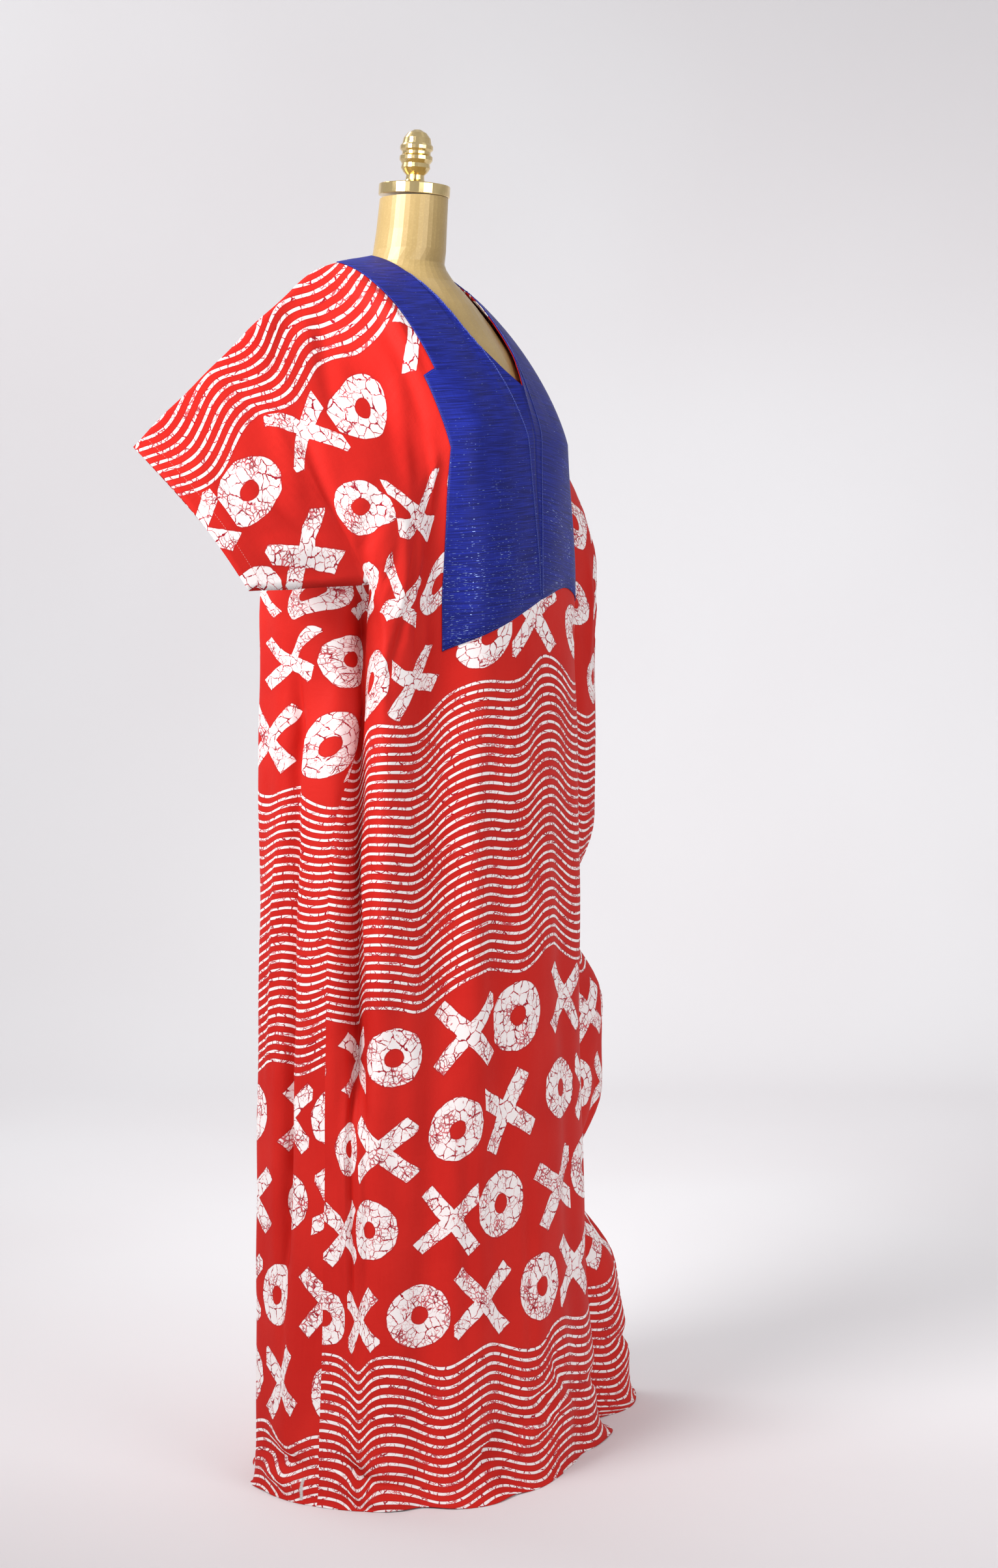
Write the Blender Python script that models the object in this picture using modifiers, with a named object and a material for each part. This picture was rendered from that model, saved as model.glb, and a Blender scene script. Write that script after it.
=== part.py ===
"""Grand boubou robe on a limbless dress form, at real size.

Frame while modelling: metres, +Z up, the wearer faces -Y, the wearer's right arm points to -X,
and the form's upright axis is the Z axis. The last step moves everything so that the bounding
box stands centred on the origin, on the floor.

The robe is one length of cloth folded at the shoulders. Each panel is a grid. A row runs across
the cloth from side seam to side seam, and a column runs down it from the shoulder fold or the
neckline to the hem. The sleeve is the part of the grid outside the column over the armpit.
"""

import math

import bmesh
import bpy
import numpy as np
from mathutils import Matrix, Vector

COLLECTION = "grand_boubou_robe_on_dress_form"

# ---- cloth -------------------------------------------------------------------------------
CLOTH_THICK = 0.0018
BIB_THICK = 0.0012
GAP = 0.0003  # between pieces that touch
SEAM_TURN = 0.0002  # extra where the edges of two walls meet, so that they clear
CREST_LEAN = 0.4  # share of a wall by which its edge at a shoulder's crest leans past the fold
CLOTH_HALF_WIDTH = 0.595  # centre to selvedge, which is the cuff edge
ARMPIT_WIDTH = 0.43  # centre to the column over the armpit
RIGHT, LEFT = -1, 1  # the wearer's sides, as signs of x

# The fold of the cloth along the shoulder and the sleeve's top, from the neck to the cuff.
SHOULDER_COLUMNS = ("along", "x", "y", "z")
SHOULDER = (
    (0.075, 0.066, 0.022, 1.5720),
    (0.190, 0.182, 0.030, 1.5440),
    (0.265, 0.245, 0.040, 1.5030),
    (0.335, 0.303, 0.050, 1.4600),
    (0.465, 0.396, 0.074, 1.3830),
    (0.595, 0.488, 0.100, 1.3020),
)
# The front neckline from its lowest point up to the shoulder fold.
NECKLINE_COLUMNS = ("share", "x", "y", "z")
NECKLINE = (
    (0.00, 0.000, -0.166, 1.398),
    (0.25, 0.026, -0.145, 1.424),
    (0.50, 0.047, -0.121, 1.455),
    (0.75, 0.060, -0.056, 1.530),
    (1.00, 0.066, 0.022, 1.572),
)
NAPE = (0.0, 0.074, 1.5600)  # middle of the back neckline
CUFF_CORNER = (0.420, -0.020, 1.130)  # where the cuff meets the underarm seam
ARMPIT_Z = 1.140
BUST_ROW_Z = 1.330  # the armpit's row of the grid, at the centre line
SKIRT_END_Z = 0.085  # below this the cloth turns out onto the floor
FLOOR_GAP = 0.0002

# The body's outline at each height: half widths to the right and left seams, depths in front
# and behind, and how far in front of the axis the two side seams hang.
SECTION_COLUMNS = ("z", "right", "left", "front", "back", "right_seam", "left_seam")
SECTIONS = (
    (0.00, 0.262, 0.342, 0.224, 0.160, 0.016, 0.040),
    (0.10, 0.264, 0.304, 0.216, 0.158, 0.020, 0.040),
    (0.35, 0.266, 0.284, 0.206, 0.152, 0.028, 0.045),
    (0.60, 0.267, 0.282, 0.200, 0.146, 0.030, 0.050),
    (0.80, 0.268, 0.282, 0.197, 0.142, 0.036, 0.052),
    (0.95, 0.269, 0.282, 0.195, 0.139, 0.066, 0.056),
    (1.14, 0.269, 0.282, 0.192, 0.138, 0.083, 0.062),
    (1.36, 0.262, 0.272, 0.182, 0.134, 0.090, 0.070),
)
UNDERARM_LAP = (1.0, 0.7, 0.3)  # how much the layers still lap at the rows below an armpit
ROUNDNESS = 2.15  # exponent of the outline's curve: 2 is an ellipse
STRAP_DRAW = 0.016  # how far the shoulder fold is drawn in towards the neck under a strap
STRAP_ALONG = 0.168  # distance along the fold where it is drawn in most
STRAP_REACH = 0.065
MOST_CROWDING = 0.42  # how much the columns may crowd at a side seam to lie true at the centre
SHOULDER_END = (0.17, 0.26)  # along the fold, where the cloth leaves the form's shoulder
OVER_SHOULDER = {"front": 0.75, "back": 0.75}  # how level the cloth starts off the shoulder
LEVEL_PULL = 0.95
LEVEL_AT_NECKLINE = 0.45  # the same for the columns that start at the front neckline
HANG = {"front": 0.70, "back": 0.85}  # how plumb it arrives at the armpit's row
HANG_PULL = 0.6
HANG_FADE = (0.62, 1.00)  # shares of the panel's half width where that gives way to the side
SLEEVE_START = (0.24, 0.42)  # along the fold, where the puff sets in
CUFF_SLACK = 0.35  # how much less of the puff is left at the cuff
PUFF = {RIGHT: 0.30, LEFT: 0.40}  # how far a sleeve's layers stand apart, as a share of its depth

# Folds that run down the cloth. "top" and "foot" are distances along the outline from the
# centre front at the fold's two ends, and depth is outwards. A fold fades over "fade" at each
# end, unless it runs into the hem.
FOLD_COLUMNS = ("side", "top", "foot", "depth", "width", "z_top", "z_foot", "fade")
FOLDS = (
    # front, right side
    (RIGHT, 0.180, 0.190, -0.026, 0.036, 1.34, 0.55, 0.20),
    (RIGHT, 0.262, 0.280, +0.014, 0.026, 1.26, 0.60, 0.12),
    (RIGHT, 0.296, 0.310, -0.050, 0.016, 1.12, 0.50, 0.12),
    (RIGHT, 0.085, 0.110, -0.010, 0.030, 0.80, 0.00, 0.30),
    (RIGHT, 0.205, 0.235, -0.014, 0.026, 0.55, 0.00, 0.25),
    # front, left side
    (LEFT, 0.192, 0.232, -0.042, 0.028, 1.36, 0.00, 0.14),
    (LEFT, 0.305, 0.320, +0.076, 0.048, 1.46, 0.74, 0.16),
    (LEFT, 0.315, 0.325, +0.092, 0.044, 0.63, 0.36, 0.16),
    (LEFT, 0.320, 0.325, +0.092, 0.048, 0.26, 0.00, 0.16),
    (LEFT, 0.060, 0.080, -0.008, 0.032, 0.90, 0.00, 0.30),
    # back, from the right side round to the middle
    (RIGHT, 0.385, 0.415, -0.020, 0.011, 1.02, 0.30, 0.14),
    (RIGHT, 0.475, 0.490, +0.010, 0.026, 1.20, 0.00, 0.20),
    (RIGHT, 0.520, 0.515, -0.028, 0.020, 1.26, 0.00, 0.20),
    (RIGHT, 0.625, 0.610, -0.022, 0.024, 1.10, 0.00, 0.25),
    # back, from the left side round to the middle
    (LEFT, 0.420, 0.430, -0.026, 0.015, 1.00, 0.20, 0.16),
    (LEFT, 0.510, 0.530, -0.030, 0.020, 1.22, 0.00, 0.20),
    (LEFT, 0.585, 0.590, +0.010, 0.028, 1.05, 0.00, 0.25),
    (LEFT, 0.650, 0.670, -0.022, 0.026, 1.16, 0.00, 0.25),
)

# How far the hem lies out on the floor at places round the robe.
POOL_COLUMNS = ("panel", "side", "at", "width", "out")
POOL_LEAST = 0.008
POOLS = (
    ("front", RIGHT, 0.12, 0.09, 0.016),
    ("front", LEFT, 0.16, 0.07, 0.038),
    ("front", LEFT, 0.40, 0.08, 0.030),
    ("back", LEFT, 0.40, 0.08, 0.030),
    ("back", LEFT, 0.20, 0.09, 0.016),
    ("back", RIGHT, 0.06, 0.12, 0.014),
)

# ---- grid --------------------------------------------------------------------------------
BODY_COLUMNS = 23  # from the centre line to the side seam
SLEEVE_COLUMNS = 5
NECK_COLUMNS = 4  # of those, the ones that start at the neckline
YOKE_ROWS = 7
CREST_CROWDING = 1.3  # over 1, the yoke's rows crowd towards the shoulder fold
SKIRT_ROWS = 17
HEM_ROWS = 4
BIB_COLUMNS = 10  # body columns under each half of the bib
BIB_STRAP_COLUMNS = 9  # and under the strap over the shoulder, down to a notch
BIB_NOTCH_ROW = 5
BIB_SKIRT_ROWS = 4  # rows of the bib below the armpit's row
BIB_FOOT_SPREAD = 2.5  # rows over which the rows bend to follow the bib's lower edge
# Height of the bib's lower edge, by share of the bib's half width.
BIB_FOOT_COLUMNS = ("share", "right", "left")
BIB_FOOT = (
    (0.0, 1.122, 1.122),
    (0.35, 1.098, 1.138),
    (1.0, 1.056, 1.080),
)

# ---- dress form --------------------------------------------------------------------------
# Rings of the torso and neck, about a middle that lies "y" behind the axis. Where a ring
# reaches into the shoulders it also takes in the shoulders' own outline.
FORM_COLUMNS = ("z", "half_width", "front", "back", "y")
FORM_RINGS = (
    (0.8350, 0.1180, 0.0850, 0.0760, 0.000),
    (0.8500, 0.1450, 0.1080, 0.0920, 0.000),
    (0.9300, 0.1580, 0.1180, 0.1000, 0.000),
    (1.0200, 0.1450, 0.1120, 0.0940, 0.000),
    (1.1200, 0.1220, 0.1040, 0.0860, 0.000),
    (1.2200, 0.1300, 0.1180, 0.0880, 0.000),
    (1.3200, 0.1480, 0.1450, 0.0940, 0.000),
    (1.3700, 0.1550, 0.1560, 0.0980, 0.000),
    (1.4100, 0.1600, 0.1480, 0.1000, 0.000),
    (1.4500, 0.1580, 0.1280, 0.0940, 0.004),
    (1.4850, 0.1380, 0.1100, 0.0760, 0.010),
    (1.5100, 0.1040, 0.0960, 0.0600, 0.012),
    (1.5300, 0.0840, 0.0800, 0.0500, 0.012),
    (1.5430, 0.0710, 0.0680, 0.0480, 0.012),
    (1.5520, 0.0620, 0.0600, 0.0480, 0.010),
    (1.5600, 0.0560, 0.0530, 0.0490, 0.008),
    (1.5680, 0.0530, 0.0480, 0.0470, 0.006),
    (1.5850, 0.0490, 0.0485, 0.0480, 0.003),
    (1.6100, 0.0470, 0.0470, 0.0470, 0.000),
    (1.6540, 0.0455, 0.0455, 0.0455, -0.004),
)
SHOULDER_ROUND = 0.006  # radius of the shoulder's top from front to back
SHOULDER_SEAT = CLOTH_THICK / 2 + 0.0002  # the cloth's middle stands this far above the shoulder
SHOULDER_Y = 0.026
FORM_SHOULDER_WIDTH = 0.172
SHOULDERS_FOOT, SHOULDERS_TOP = 1.4500, 1.5530  # the rings between these take them in
SHOULDER_TAPER = 0.145  # beyond this half width the shoulders' crest drops away
FORM_SIDES = 44
NECK_LEAN = math.radians(3.5)
CAP_RADIUS = 0.0475
CAP_HEIGHT = 0.015
CAP_CLEARANCE = 0.0032  # above the neck at its middle, so that the leaning cap clears its rim
POLE_RADIUS = 0.016
COLLAR_RADIUS = 0.030
COLLAR_HEIGHT = 0.045
BASE_RADIUS = 0.150
BASE_THICK = 0.010

# Radius of the finial at each height above the cap.
FINIAL_COLUMNS = ("height", "radius")
FINIAL = (
    (0.0000, 0.0160),
    (0.0030, 0.0155),
    (0.0070, 0.0125),
    (0.0130, 0.0120),
    (0.0170, 0.0160),
    (0.0225, 0.0195),
    (0.0280, 0.0185),
    (0.0330, 0.0220),
    (0.0375, 0.0220),
    (0.0405, 0.0190),
    (0.0440, 0.0190),
    (0.0470, 0.0220),
    (0.0515, 0.0220),
    (0.0545, 0.0195),
    (0.0620, 0.0180),
    (0.0690, 0.0125),
    (0.0730, 0.0055),
)

FINIAL_TIP = 0.001  # from its last radius up to the point

RED = (0.51, 0.022, 0.022, 1.0)
BLUE = (0.012, 0.02, 0.27, 1.0)
GOLD_PAINT = (0.52, 0.36, 0.12, 1.0)
GOLD_METAL = (0.83, 0.60, 0.22, 1.0)
STAND_METAL = (0.55, 0.52, 0.48, 1.0)


# ---- tables ------------------------------------------------------------------------------
def column(rows, names, name):
    return np.array([row[names.index(name)] for row in rows], float)


def through(xs, ys, at):
    """A smooth curve through a table's rows that never swings past them."""
    at = np.clip(np.asarray(at, float), xs[0], xs[-1])
    step = np.diff(xs)
    slope = np.diff(ys) / step
    tangent = np.zeros(len(xs))
    tangent[0], tangent[-1] = slope[0], slope[-1]
    for i in range(1, len(xs) - 1):
        if slope[i - 1] * slope[i] > 0:
            tangent[i] = 2 * slope[i - 1] * slope[i] / (slope[i - 1] + slope[i])
    k = np.clip(np.searchsorted(xs, at, side="right") - 1, 0, len(step) - 1)
    t = (at - xs[k]) / step[k]
    return (
        ys[k] * (1 + 2 * t) * (1 - t) ** 2
        + ys[k + 1] * t * t * (3 - 2 * t)
        + step[k] * t * (1 - t) * (tangent[k] * (1 - t) - tangent[k + 1] * t)
    )


def ease(low, high, at):
    """0 below low, 1 above high, and a smooth rise between."""
    t = np.clip((np.asarray(at, float) - low) / (high - low), 0, 1)
    return t * t * (3 - 2 * t)


def section_value(name, z):
    heights = column(SECTIONS, SECTION_COLUMNS, "z")
    return through(heights, column(SECTIONS, SECTION_COLUMNS, name), z)


# ---- the body's outline with its folds -----------------------------------------------------
OUTLINE_POINTS = 361
LEVEL_STEP = 0.02
FOLD_STEEPNESS = 1.2  # how fast the columns crowd into a fold
SHARPEST_TURN = -0.7  # cosine of the sharpest corner that the side seams are trimmed for


def outline(side, z):
    """Half of the outline at height z, from the centre front round to the centre back.

    Gives x, y, the distance walked, the outward normal and the distance at the side seam.
    """
    turn = np.linspace(0, math.pi, OUTLINE_POINTS)
    half = section_value("right" if side == RIGHT else "left", z)
    depth = np.where(turn < math.pi / 2, section_value("front", z), section_value("back", z))
    power = 2 / ROUNDNESS
    x = side * half * np.sin(turn).clip(0) ** power
    y = -depth * np.sign(np.cos(turn)) * np.abs(np.cos(turn)) ** power
    walked = np.concatenate([[0], np.cumsum(np.hypot(np.diff(x), np.diff(y)))])
    dx, dy = np.gradient(x, walked), np.gradient(y, walked)
    size = np.hypot(dx, dy)
    normal = np.stack([side * dy / size, -side * dx / size], -1)
    seam_y = -section_value("right_seam" if side == RIGHT else "left_seam", z)
    return x, y, walked, normal, np.interp(seam_y, y, walked)


def fold_strength(fold, z):
    """1 along a fold's run and 0 past its ends."""
    fade = fold["fade"] / 2
    strength = ease(fold["z_top"] + fade, fold["z_top"] - fade, z)
    if fold["z_foot"] > 0:
        strength = strength * ease(fold["z_foot"] - fade, fold["z_foot"] + fade, z)
    return strength


def skirt_levels(panel, side, share):
    """Points of one half of a panel at each level and share of its cut width.

    Columns crowd together where a fold takes up cloth, so that a column stays in its fold.
    Gives the heights, the points and the outward normals of the outline without its folds.
    """
    heights = np.arange(0, SECTIONS[-1][0] + LEVEL_STEP / 2, LEVEL_STEP)
    points = np.zeros((len(heights), len(share), 3))
    normals = np.zeros((len(heights), len(share), 2))
    for k, z in enumerate(heights):
        x, y, walked, normal, seam = outline(side, z)
        out = np.zeros_like(walked)
        cloth = walked.copy()
        for row in FOLDS:
            fold = dict(zip(FOLD_COLUMNS, row))
            if fold["side"] != side:
                continue
            fall = np.clip((fold["z_top"] - z) / (fold["z_top"] - fold["z_foot"]), 0, 1)
            away = (walked - fold["top"] - (fold["foot"] - fold["top"]) * fall) / fold["width"]
            out += fold["depth"] * fold_strength(fold, z) * np.exp(-(away**2))
            taken = max(0.0, 2 * abs(fold["depth"]) - FOLD_STEEPNESS * fold["width"])
            cloth += taken * 0.5 * (1 + np.tanh(FOLD_STEEPNESS * away))
        centre = 0 if panel == "front" else -1
        reach = np.interp(seam, walked, cloth) - cloth[centre]
        spare = np.clip(ARMPIT_WIDTH / abs(reach) - 1, 0, MOST_CROWDING)
        wanted = cloth[centre] + reach * (share + spare * share * (1 - share**2))
        points[k, :, 0] = np.interp(wanted, cloth, x + normal[:, 0] * out)
        points[k, :, 1] = np.interp(wanted, cloth, y + normal[:, 1] * out)
        points[k, :, 2] = z
        for axis in (0, 1):
            normals[k, :, axis] = np.interp(wanted, cloth, normal[:, axis])
        step = (wanted[-1] - wanted[-2]) * (1 if panel == "front" else -1)
        corner = np.array([wanted[-1] - step, wanted[-1], wanted[-1] + step])
        corner = np.stack(
            [
                np.interp(corner, cloth, x + normal[:, 0] * out),
                np.interp(corner, cloth, y + normal[:, 1] * out),
            ],
            -1,
        )
        before, after = np.diff(corner, axis=0)
        before, after = before / np.hypot(*before), after / np.hypot(*after)
        bend = math.acos(np.clip(before @ after, SHARPEST_TURN, 1))
        trim = GAP / 2 + SEAM_TURN + CLOTH_THICK / 2 * math.tan(bend / 2)
        points[k, -1, :2] += trim * (-before if panel == "front" else after)
    return heights, points, normals


def at_height(heights, values, z):
    """Each column's value at its own height z, between the levels."""
    k = np.clip(((z - heights[0]) / LEVEL_STEP).astype(int), 0, len(heights) - 2)
    t = ((z - heights[k]) / LEVEL_STEP)[:, None]
    columns = np.arange(values.shape[1])
    return values[k, columns] * (1 - t) + values[k + 1, columns] * t


# ---- the panels' grid ---------------------------------------------------------------------
def shoulder_point(side, along):
    """Points of the shoulder fold at distances along it from the centre line."""
    at = column(SHOULDER, SHOULDER_COLUMNS, "along")
    found = [through(at, column(SHOULDER, SHOULDER_COLUMNS, name), along) for name in "xyz"]
    return np.stack([side * found[0], found[1], found[2]], -1)


def neck_edge(panel, side, share):
    """The neckline from its middle (share 0) to the shoulder fold (share 1)."""
    if panel == "front":
        at = column(NECKLINE, NECKLINE_COLUMNS, "share")
        found = [through(at, column(NECKLINE, NECKLINE_COLUMNS, name), share) for name in "xyz"]
        return np.stack([side * found[0], found[1], found[2]], -1)
    middle = np.array(NAPE)
    corner = shoulder_point(side, SHOULDER[0][0])
    share = share[:, None]
    line = middle + (corner - middle) * share
    round_nape = np.sqrt(np.clip(1 - share**2, 0, 1))
    line[:, 1:2] = corner[1] + (middle[1] - corner[1]) * round_nape
    return line


def armpit_row_z(share):
    """Height of the row at the armpit: over the bust in the middle, low at the side seam."""
    return ARMPIT_Z + (BUST_ROW_Z - ARMPIT_Z) * (1 - ease(0.30, 1.0, share))


def sleeve_facing(side, armpit):
    """The way the sleeve's front layer faces: square to its underarm seam and its fall."""
    corner = np.array(CUFF_CORNER) * (side, 1, 1)
    fall = armpit - shoulder_point(side, ARMPIT_WIDTH)
    facing = np.cross(corner - armpit, fall)
    return facing / np.linalg.norm(facing) * -np.sign(facing[1])


def hermite(start, end, leave, arrive, t):
    t = t[:, None, None]
    return (
        start * (1 + 2 * t) * (1 - t) ** 2
        + end * t * t * (3 - 2 * t)
        + leave * t * (1 - t) ** 2
        - arrive * t * t * (1 - t)
    )


def yoke(panel, side, share, under):
    """Rows from the shoulder fold or neckline down to the points "under"."""
    forward = -1.0 if panel == "front" else 1.0
    along = share * ARMPIT_WIDTH
    drawn = STRAP_DRAW * np.exp(-(((along - STRAP_ALONG) / STRAP_REACH) ** 2))
    top = shoulder_point(side, along - drawn)
    top[:NECK_COLUMNS] = neck_edge(panel, side, np.arange(NECK_COLUMNS) / NECK_COLUMNS)
    top[NECK_COLUMNS] = shoulder_point(side, SHOULDER[0][0])
    chord = under - top
    size = np.linalg.norm(chord, axis=1, keepdims=True)
    over_shoulder = OVER_SHOULDER[panel] * (1 - ease(*SHOULDER_END, along))[:, None]
    if panel == "front":
        from_middle = np.arange(NECK_COLUMNS)[:, None] / NECK_COLUMNS
        over_shoulder[:NECK_COLUMNS] = LEVEL_AT_NECKLINE * from_middle**2
    puff = ease(*SLEEVE_START, along)[:, None]
    level = np.array([0.0, forward, 0.0]) * size * LEVEL_PULL
    leave = chord * (1 - over_shoulder) + level * over_shoulder
    bulge = -forward * sleeve_facing(side, under[-1]) * size * PUFF[side] * puff
    leave = leave + bulge
    down = np.array([0.0, 0.0, -1.0]) * size
    hang = HANG[panel] * (1 - ease(*HANG_FADE, share))[:, None]
    arrive = chord * (1 - hang) + down * hang * HANG_PULL - bulge
    rows = np.linspace(0, 1, YOKE_ROWS + 1) ** CREST_CROWDING
    return hermite(top, under, leave, arrive, rows)


def half_panel(panel, side):
    """The grid of one half of a panel: rows down, columns from the centre line to the cuff."""
    share = np.linspace(0, 1, BODY_COLUMNS + 1)
    heights, points, normals = skirt_levels(panel, side, share)
    row_z = armpit_row_z(share)
    under = at_height(heights, points, row_z)
    rows = list(yoke(panel, side, share, under))
    bib_edge = BIB_COLUMNS / BODY_COLUMNS
    foot_shares = column(BIB_FOOT, BIB_FOOT_COLUMNS, "share")
    foot_z = column(BIB_FOOT, BIB_FOOT_COLUMNS, "right" if side == RIGHT else "left")
    bib_foot = through(foot_shares, foot_z, np.minimum(share / bib_edge, 1))
    level = row_z + (SKIRT_END_Z - row_z) * BIB_SKIRT_ROWS / SKIRT_ROWS
    lift = (bib_foot - level) * (1 - ease(bib_edge, 0.8, share))
    for j in range(1, SKIRT_ROWS + 1):
        near_foot = math.exp(-(((j - BIB_SKIRT_ROWS) / BIB_FOOT_SPREAD) ** 2))
        z = row_z + (SKIRT_END_Z - row_z) * j / SKIRT_ROWS + lift * near_foot
        rows.append(at_height(heights, points, z))
    rows += hem_rows(panel, side, share, rows[-1], normals)
    return np.array(rows)


def hem_rows(panel, side, share, above, normals):
    """The last rows, which turn out and lie on the floor."""
    cut = share * ARMPIT_WIDTH
    out = np.full(len(share), POOL_LEAST)
    for pool in POOLS:
        pool = dict(zip(POOL_COLUMNS, pool))
        if (pool["panel"], pool["side"]) == (panel, side):
            out += pool["out"] * np.exp(-(((cut - pool["at"]) / pool["width"]) ** 2))
    away = normals[0]
    floor = CLOTH_THICK / 2 + FLOOR_GAP
    rows = []
    for j in range(1, HEM_ROWS + 1):
        t = j / HEM_ROWS
        row = above.copy()
        row[:, :2] += away * (out * t**2)[:, None]
        row[:, 2] = floor + (above[:, 2] - floor) * (1 - t) ** 2
        rows.append(row)
    return rows


def sleeve(panel, side, armpit_column):
    """The columns of the sleeve, from the one next to the armpit's out to the cuff."""
    forward = -1.0 if panel == "front" else 1.0
    rows = np.linspace(0, 1, YOKE_ROWS + 1) ** CREST_CROWDING
    armpit = armpit_column[-1]
    corner = np.array(CUFF_CORNER) * (side, 1, 1)
    facing = sleeve_facing(side, armpit)
    columns = []
    for i in range(1, SLEEVE_COLUMNS + 1):
        share = i / SLEEVE_COLUMNS
        along = ARMPIT_WIDTH + (CLOTH_HALF_WIDTH - ARMPIT_WIDTH) * share
        top = shoulder_point(side, np.array([along]))
        foot = (armpit + (corner - armpit) * share)[None]
        chord = foot - top
        size = np.linalg.norm(chord, axis=1, keepdims=True)
        bulge = -forward * facing * size * PUFF[side] * (1 - CUFF_SLACK * share)
        columns.append(hermite(top, foot, chord + bulge, chord - bulge, rows)[:, 0])
    return np.array(columns).transpose(1, 0, 2)


def panel_grid(panel):
    """Points of the whole panel, and which of them are cloth.

    Rows run down. Columns run from the right cuff across to the left one. Below the armpit's
    row there is no cloth outside the body's columns.
    """
    layer = 1.0 if panel == "front" else -1.0
    lap = CLOTH_THICK / 2 + GAP / 2  # where two layers lie face to face
    butt = GAP / 2 + CLOTH_THICK * CREST_LEAN  # where two edges meet at a shoulder's crest
    halves = []
    for side in (RIGHT, LEFT):
        body = half_panel(panel, side)
        cuff = sleeve(panel, side, body[: YOKE_ROWS + 1, -1])
        facing = layer * sleeve_facing(side, body[YOKE_ROWS, -1])
        along = np.linspace(0, ARMPIT_WIDTH, BODY_COLUMNS + 1)
        lapped = ease(*SHOULDER_END, along)[:, None]
        edge_shift = np.array([0.0, -layer * butt, 0.0]) * (1 - lapped) + facing * lap * lapped
        body[0, NECK_COLUMNS:] += edge_shift[NECK_COLUMNS:]
        for down, strength in enumerate(UNDERARM_LAP):
            body[YOKE_ROWS + down, -1] += facing * lap * strength
        cuff[0] += facing * lap
        cuff[YOKE_ROWS] += facing * lap
        below = np.full((len(body) - len(cuff), SLEEVE_COLUMNS, 3), np.nan)
        halves.append(np.concatenate([body, np.concatenate([cuff, below])], axis=1))
    right, left = halves
    return np.concatenate([right[:, :0:-1], left], axis=1)


# ---- meshes ---------------------------------------------------------------------------------
def material(name, colour, roughness, metallic):
    made = bpy.data.materials.new(name)
    made.use_nodes = True
    shader = made.node_tree.nodes["Principled BSDF"]
    shader.inputs["Base Color"].default_value = colour
    shader.inputs["Roughness"].default_value = roughness
    shader.inputs["Metallic"].default_value = metallic
    return made


def add(collection, name, mesh, finish):
    made = bpy.data.objects.new(name, mesh)
    mesh.materials.append(finish)
    collection.objects.link(made)
    return made


def grid_mesh(name, grid, keep, outward_right):
    """A mesh of the grid's cells whose four corners are cloth."""
    rows, columns = grid.shape[:2]
    number = np.full((rows, columns), -1)
    number[keep] = np.arange(keep.sum())
    faces = []
    for j in range(rows - 1):
        for i in range(columns - 1):
            cell = [number[j, i], number[j + 1, i], number[j + 1, i + 1], number[j, i + 1]]
            if min(cell) >= 0:
                faces.append(cell if outward_right else cell[::-1])
    mesh = bpy.data.meshes.new(name)
    mesh.from_pydata([tuple(p) for p in grid[keep]], [], faces)
    mesh.update()
    return mesh


def add_shell(collection, name, mesh, thick, finish):
    made = add(collection, name, mesh, finish)
    shell = made.modifiers.new("thickness", "SOLIDIFY")
    shell.thickness = thick
    shell.offset = 0
    return made


def robe_panel(collection, panel, finish):
    grid = panel_grid(panel)
    keep = ~np.isnan(grid[:, :, 0])
    mesh = grid_mesh("robe_" + panel, grid, keep, outward_right=panel == "front")
    return add_shell(collection, "robe_" + panel, mesh, CLOTH_THICK, finish), grid, keep


def vertex_normals(mesh, grid, keep):
    found = np.zeros(grid.shape)
    found[keep] = [tuple(v.normal) for v in mesh.vertices]
    return found


def bib_half(collection, side, grid, normals, finish):
    """One half of the bib: the panel's own points under it, moved out by a gap and two walls."""
    centre = SLEEVE_COLUMNS + BODY_COLUMNS
    rows = YOKE_ROWS + BIB_SKIRT_ROWS + 1
    columns = [centre + side * i for i in range(BIB_COLUMNS + 1)]
    out = CLOTH_THICK / 2 + GAP + BIB_THICK / 2
    points = grid[:rows][:, columns] + normals[:rows][:, columns] * out
    points[:, 0, 0] = side * (GAP / 2 + SEAM_TURN)
    name = "bib_right" if side == RIGHT else "bib_left"
    keep = np.ones(points.shape[:2], bool)
    keep[:BIB_NOTCH_ROW, BIB_STRAP_COLUMNS + 1 :] = False
    mesh = grid_mesh(name, points, keep, outward_right=side == LEFT)
    return add_shell(collection, name, mesh, BIB_THICK, finish)


def loft(name, rings):
    """A closed solid through rings of the same number of points, with flat ends."""
    sides = len(rings[0])
    points = [tuple(p) for ring in rings for p in ring]
    faces = [list(range(sides))[::-1], list(range(len(points) - sides, len(points)))]
    for j in range(len(rings) - 1):
        for i in range(sides):
            k = (i + 1) % sides
            faces.append([j * sides + i, j * sides + k, (j + 1) * sides + k, (j + 1) * sides + i])
    mesh = bpy.data.meshes.new(name)
    mesh.from_pydata(points, [], faces)
    mesh.update()
    return mesh


def shoulder_reach(z, middle_y, turn):
    """How far the shoulders reach from the middle of a ring at height z, in each direction.

    Their crest follows the cloth's fold along the top, and they round off to front and back.
    """
    reach = np.linspace(0, FORM_SHOULDER_WIDTH, 90)[:, None]
    x = np.abs(reach * np.cos(turn))
    y = middle_y + reach * np.sin(turn) - SHOULDER_Y
    widths = column(SHOULDER, SHOULDER_COLUMNS, "x")
    crest = through(widths, column(SHOULDER, SHOULDER_COLUMNS, "z"), x) - SHOULDER_SEAT
    crest = crest - ease(SHOULDER_TAPER, FORM_SHOULDER_WIDTH, x) * SHOULDER_ROUND / 2
    top = crest - y**2 / (2 * SHOULDER_ROUND)
    return (reach * (top >= z)).max(axis=0)


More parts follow.
